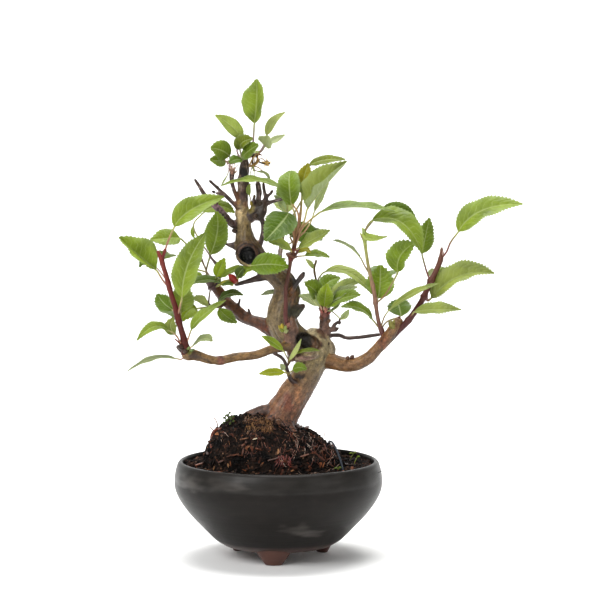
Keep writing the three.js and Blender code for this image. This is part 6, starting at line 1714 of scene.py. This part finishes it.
def make_trimmings(stem):
    """The small things on the wood: buds, bud scales, a dried flower and its stalks."""
    heap = Heap()
    for x, y, z, tilt, length, width, colour, point in BUDS:
        lean = math.radians(tilt)
        axis = (math.sin(lean), -0.25, math.cos(lean))
        body, faces = ovoid(true_place((x, y, z)), axis, length, width, 9, 6, point)
        heap.add(body, faces, linear(colour))
    for points, colour in DRIED_STALKS:
        heap.rod(points, 6, linear(colour))
    # the dried calyx: five sepals round a cup
    for k in range(5):
        turn = k * 2 * math.pi / 5 + 0.3
        away = np.array([math.cos(turn), -0.45, math.sin(turn)])
        centre = true_place(CALYX) + away * 1.8
        body, faces = ovoid(centre, away, 5.4, 1.1, 6, 4, 1.0)
        heap.add(body, faces, linear("#B08E50"))
    return heap.piece("buds_and_dry_flower", [stem])


def make_wire(finish):
    """The tie wire as one smooth bent rod."""
    heap = Heap()
    heap.rod(TIE_WIRE, 12, linear("#2A3038"), step=1.0, thin=0.9)
    return heap.piece("wire_tie", [finish])


def dress(made, slot, *nodes):
    """Fixes a piece to the part, in place of CAD nodes."""
    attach(made, "root")
    if nodes:
        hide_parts(*nodes)


class BonsaiPot(PropertyGroup):
    sides: IntProperty(name="Sides", description="Segments round the pot", default=176, min=24)


class BonsaiWood(PropertyGroup):
    voxel: FloatProperty(
        name="Fineness", description="The smallest bump on the wood in millimetres", default=0.65, min=0.3
    )
    relief: FloatProperty(
        name="Relief", description="How strongly the bark is ridged", default=1.0, min=0.0, max=3.0
    )


class BonsaiLeaves(PropertyGroup):
    blade: FloatProperty(
        name="Blade", description="Thickness of a leaf in millimetres", default=0.34, min=0.1
    )
    tooth: FloatProperty(
        name="Tooth", description="Spacing of the teeth in millimetres", default=2.1, min=0.8
    )
    tooth_depth: FloatProperty(
        name="Tooth depth", description="How far the teeth stand out in millimetres", default=0.9, min=0.0
    )
    wave: FloatProperty(
        name="Wave", description="How far a leaf's edge waves in millimetres", default=0.9, min=0.0
    )
    stalk: FloatProperty(name="Stalk", description="Thickness of a leaf stalk in millimetres", default=1.4)


class BonsaiSoil(PropertyGroup):
    roughness: FloatProperty(
        name="Roughness", description="Strength of the lumps in the soil", default=1.0, min=0.0, max=3.0
    )
    crumbs: FloatProperty(
        name="Crumbs", description="Soil crumbs on each square centimetre", default=34.0, min=0.0
    )
    chips: FloatProperty(
        name="Chips", description="Small bark chips on each square centimetre", default=3.4, min=0.0
    )
    fibres: FloatProperty(
        name="Fibres", description="Root fibres on each square centimetre", default=3.2, min=0.0
    )
    seed: IntProperty(name="Seed", description="Another seed lays the litter another way", default=4)


class BonsaiStage(PropertyGroup):
    floor: FloatVectorProperty(
        name="Floor", description="Colour of the floor", default=linear("#F4F4F3"), size=3, subtype="COLOR"
    )
    key: FloatProperty(
        name="Key light", description="Power of the soft light from the left", default=46.0, unit="POWER"
    )
    fill: FloatProperty(
        name="Fill light", description="Power of the soft light from the right", default=5.0, unit="POWER"
    )
    top: FloatProperty(
        name="Top light", description="Power of the light overhead", default=36.0, unit="POWER"
    )
    glow: FloatProperty(
        name="Backdrop light", description="Power of the light on the backdrop", default=60.0, unit="POWER"
    )
    backdrop: BoolProperty(name="Backdrop", description="Puts a pale sweep behind the tree", default=True)


class BONSAI_OT_pot(Operator):
    """Make the stoneware pot and finish the screen in it"""

    bl_idname = "bonsai.pot"
    bl_label = "Pot"

    def execute(self, context):
        dress(make_pot(context.scene.bonsai_pot, stoneware()), "stoneware", "pot")
        mesh = fitting("polypropylene mesh, moulded", "#1C1C1C", 0.6, 0.0, 900.0)
        for slot in frame["nodes"]["drain_screen"].material_slots:
            slot.material = mesh
        return {"FINISHED"}


class BONSAI_OT_wood(Operator):
    """Make the trunk with its branches, twigs and roots"""

    bl_idname = "bonsai.wood"
    bl_label = "Wood"

    def execute(self, context):
        dress(make_wood(context.scene.bonsai_wood, living_bark()), "bark", "tree")
        return {"FINISHED"}


class BONSAI_OT_leaves(Operator):
    """Make every leafy shoot and spur, and the buds and dried flower on the wood"""

    bl_idname = "bonsai.leaves"
    bl_label = "Leaves"

    def execute(self, context):
        upper, under, stem = leaf_upper(), leaf_under(), young_stem()
        for name in SHOOTS:
            dress(make_shoot(name, context.scene.bonsai_leaves, [upper, under, stem]), "leaf", name)
        dress(make_trimmings(stem), "bark")
        dress(make_sprouts(stem, upper, under, context.scene.bonsai_leaves), "leaf")
        return {"FINISHED"}


class BONSAI_OT_soil(Operator):
    """Make the soil with its crumbs, bark chips and root fibres"""

    bl_idname = "bonsai.soil"
    bl_label = "Soil"

    def execute(self, context):
        settings = context.scene.bonsai_soil
        dark = [(0.3, "#0B0806"), (0.5, "#1A120D"), (0.72, "#33241B")]
        soil = make_soil(settings, ground("peat and bark compost, watered", dark, 260.0, 0.9))
        tree = scatter_tree()
        chance = random.Random(settings.seed)
        peat = [(0.0, "#0A0706"), (0.5, "#1C130E"), (0.85, "#34221A"), (0.97, "#5E4333"), (1.0, "#80644E")]
        crumb = shaded("peat crumbs", peat, 0.9, 900.0)
        splints = [
            (0.0, "#120906"), (0.45, "#2A150D"), (0.78, "#5A2E1B"), (0.93, "#8C5434"), (1.0, "#B88E66"),
        ]
        bark = shaded("composted bark, splintered", splints, 0.75, 700.0)
        threads = [(0.0, "#170C08"), (0.55, "#38201A"), (0.84, "#7A4C3A"), (1.0, "#D2BAA8")]
        fibre = shaded("fine roots", threads, 0.7, 700.0)

        def even(places):
            """As much litter everywhere."""
            return np.ones(len(places))

        def on_mound(places):
            """Most litter on the mound's front right."""
            x = places[:, 0] - POT_AXIS[0]
            y = places[:, 1] - POT_AXIS[1]
            return np.clip(1.2 - np.abs(np.hypot(x - 16, y + 14) - 18) / 34, 0.12, 1)

        crumbs, chips, fibres = crumb_shapes(chance), chip_shapes(chance), fibre_shapes(chance)
        litter = (
            # name, shapes, material, count, smallest, largest, lean in radians, seed, where there is more
            ("soil_crumbs", crumbs, crumb, settings.crumbs, 0.7, 2.6, 3.1, 11, even),
            ("small_chips", chips, bark, settings.chips, 2.0, 7.0, 0.5, 12, even),
            ("root_fibres", fibres, fibre, settings.fibres, 6, 15, 0.35, 13, on_mound),
        )
        pieces = [scatter(name, tree, soil, *how) for name, *how in litter]
        dress(soil, "soil", "soil")
        for made in pieces:
            dress(made, "soil")
        dress(make_chips(living_bark("bark chips, split")), "soil")
        dress(make_hair_roots(young_stem("fine roots, living")), "soil")
        return {"FINISHED"}


class BONSAI_OT_wire(Operator):
    """Make the wire that ties the tree down"""

    bl_idname = "bonsai.wire"
    bl_label = "Wire"

    def execute(self, context):
        finish = fitting("aluminium wire, drawn and lacquered", "#2B323B", 0.42, 0.4, 1500.0)
        dress(make_wire(finish), "wire", "tie_wire")
        return {"FINISHED"}


class BONSAI_OT_stage(Operator):
    """Make the floor, the soft lights and the camera"""

    bl_idname = "bonsai.stage"
    bl_label = "Stage"

    def execute(self, context):
        settings = context.scene.bonsai_stage
        turn = np.linspace(0, math.pi / 2, 13)
        sweep = [(-6.0, 0.0), *[(1.2 + math.sin(a) * 1.0, 1.0 - math.cos(a)) for a in turn], (2.2, 5.0)]
        if not settings.backdrop:
            sweep = [(-6.0, 0.0), (6.0, 0.0)]
        mesh = bpy.data.meshes.new("floor_sweep")
        places = [(x, y, z) for y, z in sweep for x in (-6.0, 6.0)]
        faces = [(2 * k, 2 * k + 1, 2 * k + 3, 2 * k + 2) for k in range(len(sweep) - 1)]
        mesh.from_pydata(places, [], faces)
        mesh.polygons.foreach_set("use_smooth", [True] * len(mesh.polygons))
        floor = placed("floor_sweep", mesh)
        made, node, _ = material("paper backdrop, matt")
        paper = node("ShaderNodeBsdfPrincipled", {"Base Color": (*settings.floor, 1), "Roughness": 0.9})
        node(OUTPUT, {0: paper})
        mesh.materials.append(made)
        world = bpy.data.worlds.new("soft_room")
        world.use_nodes = True
        back = world.node_tree.nodes["Background"]
        back.inputs["Color"].default_value = (1, 1, 1, 1)
        back.inputs["Strength"].default_value = 0.3
        context.scene.world = world
        centre = Vector((POT_AXIS[0] * MM, POT_AXIS[1] * MM, 0.18))
        for name, power, size, place in (
            ("key", settings.key, 1.3, (-1.3, -1.5, 1.5)),
            ("fill", settings.fill, 1.2, (1.5, -1.2, 0.7)),
            ("top", settings.top, 1.4, (0.1, 0.2, 2.0)),
            ("backdrop", settings.glow, 2.0, (0.0, 0.7, 2.6)),
        ):
            light = bpy.data.lights.new(name, "AREA")
            light.energy, light.size = power, size
            lamp = placed(name, light)
            lamp.location = Vector(place)
            aim = Vector((0, 1.9, 0.6)) if name == "backdrop" else centre
            lamp.rotation_euler = (aim - lamp.location).to_track_quat("-Z", "Y").to_euler()
        camera = bpy.data.cameras.new("camera")
        camera.sensor_width = 36
        camera.lens = FOCAL_PIXELS / PICTURE_PIXELS * camera.sensor_width
        eye = placed("camera", camera)
        eye.location = ((POT_AXIS[0] + EYE_X) * MM, (POT_AXIS[1] - EYE_AWAY) * MM, EYE_Z * MM)
        eye.rotation_euler = (math.radians(90 - LOOKS_DOWN), 0, 0)
        context.scene.camera = eye
        context.scene.view_settings.view_transform = "Standard"
        return {"FINISHED"}


class BONSAI_PT_panel(Panel):
    """Sizes and steps of the bonsai"""

    bl_idname = "BONSAI_PT_panel"
    bl_label = "Apple bonsai"
    bl_space_type = "VIEW_3D"
    bl_region_type = "UI"
    bl_category = "Bonsai"

    def draw(self, context):
        for step, group in STEPS:
            box = self.layout.box()
            box.operator(step.bl_idname)
            if group:
                settings = getattr(context.scene, group)
                for key in settings.bl_rna.properties.keys():
                    if key not in ("rna_type", "name"):
                        box.prop(settings, key)


GROUPS = {
    "bonsai_pot": BonsaiPot,
    "bonsai_wood": BonsaiWood,
    "bonsai_leaves": BonsaiLeaves,
    "bonsai_soil": BonsaiSoil,
    "bonsai_stage": BonsaiStage,
}
STEPS = (
    (BONSAI_OT_pot, "bonsai_pot"),
    (BONSAI_OT_wood, "bonsai_wood"),
    (BONSAI_OT_leaves, "bonsai_leaves"),
    (BONSAI_OT_soil, "bonsai_soil"),
    (BONSAI_OT_wire, None),
    (BONSAI_OT_stage, "bonsai_stage"),
)


def register():
    """Registers the groups of settings, the steps and the panel."""
    for group in GROUPS.values():
        bpy.utils.register_class(group)
    for step, _ in STEPS:
        bpy.utils.register_class(step)
    bpy.utils.register_class(BONSAI_PT_panel)
    for name, group in GROUPS.items():
        setattr(bpy.types.Scene, name, PointerProperty(type=group))


def unregister():
    """Takes back what register() does."""
    for name in GROUPS:
        delattr(bpy.types.Scene, name)
    bpy.utils.unregister_class(BONSAI_PT_panel)
    for step, _ in reversed(STEPS):
        bpy.utils.unregister_class(step)
    for group in reversed(GROUPS.values()):
        bpy.utils.unregister_class(group)


def main():
    """Makes the bonsai and its stage."""
    register()
    bpy.ops.bonsai.pot()
    bpy.ops.bonsai.wood()
    bpy.ops.bonsai.leaves()
    bpy.ops.bonsai.soil()
    bpy.ops.bonsai.wire()
    bpy.ops.bonsai.stage()
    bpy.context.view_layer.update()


if __name__ == "__main__":
    main()
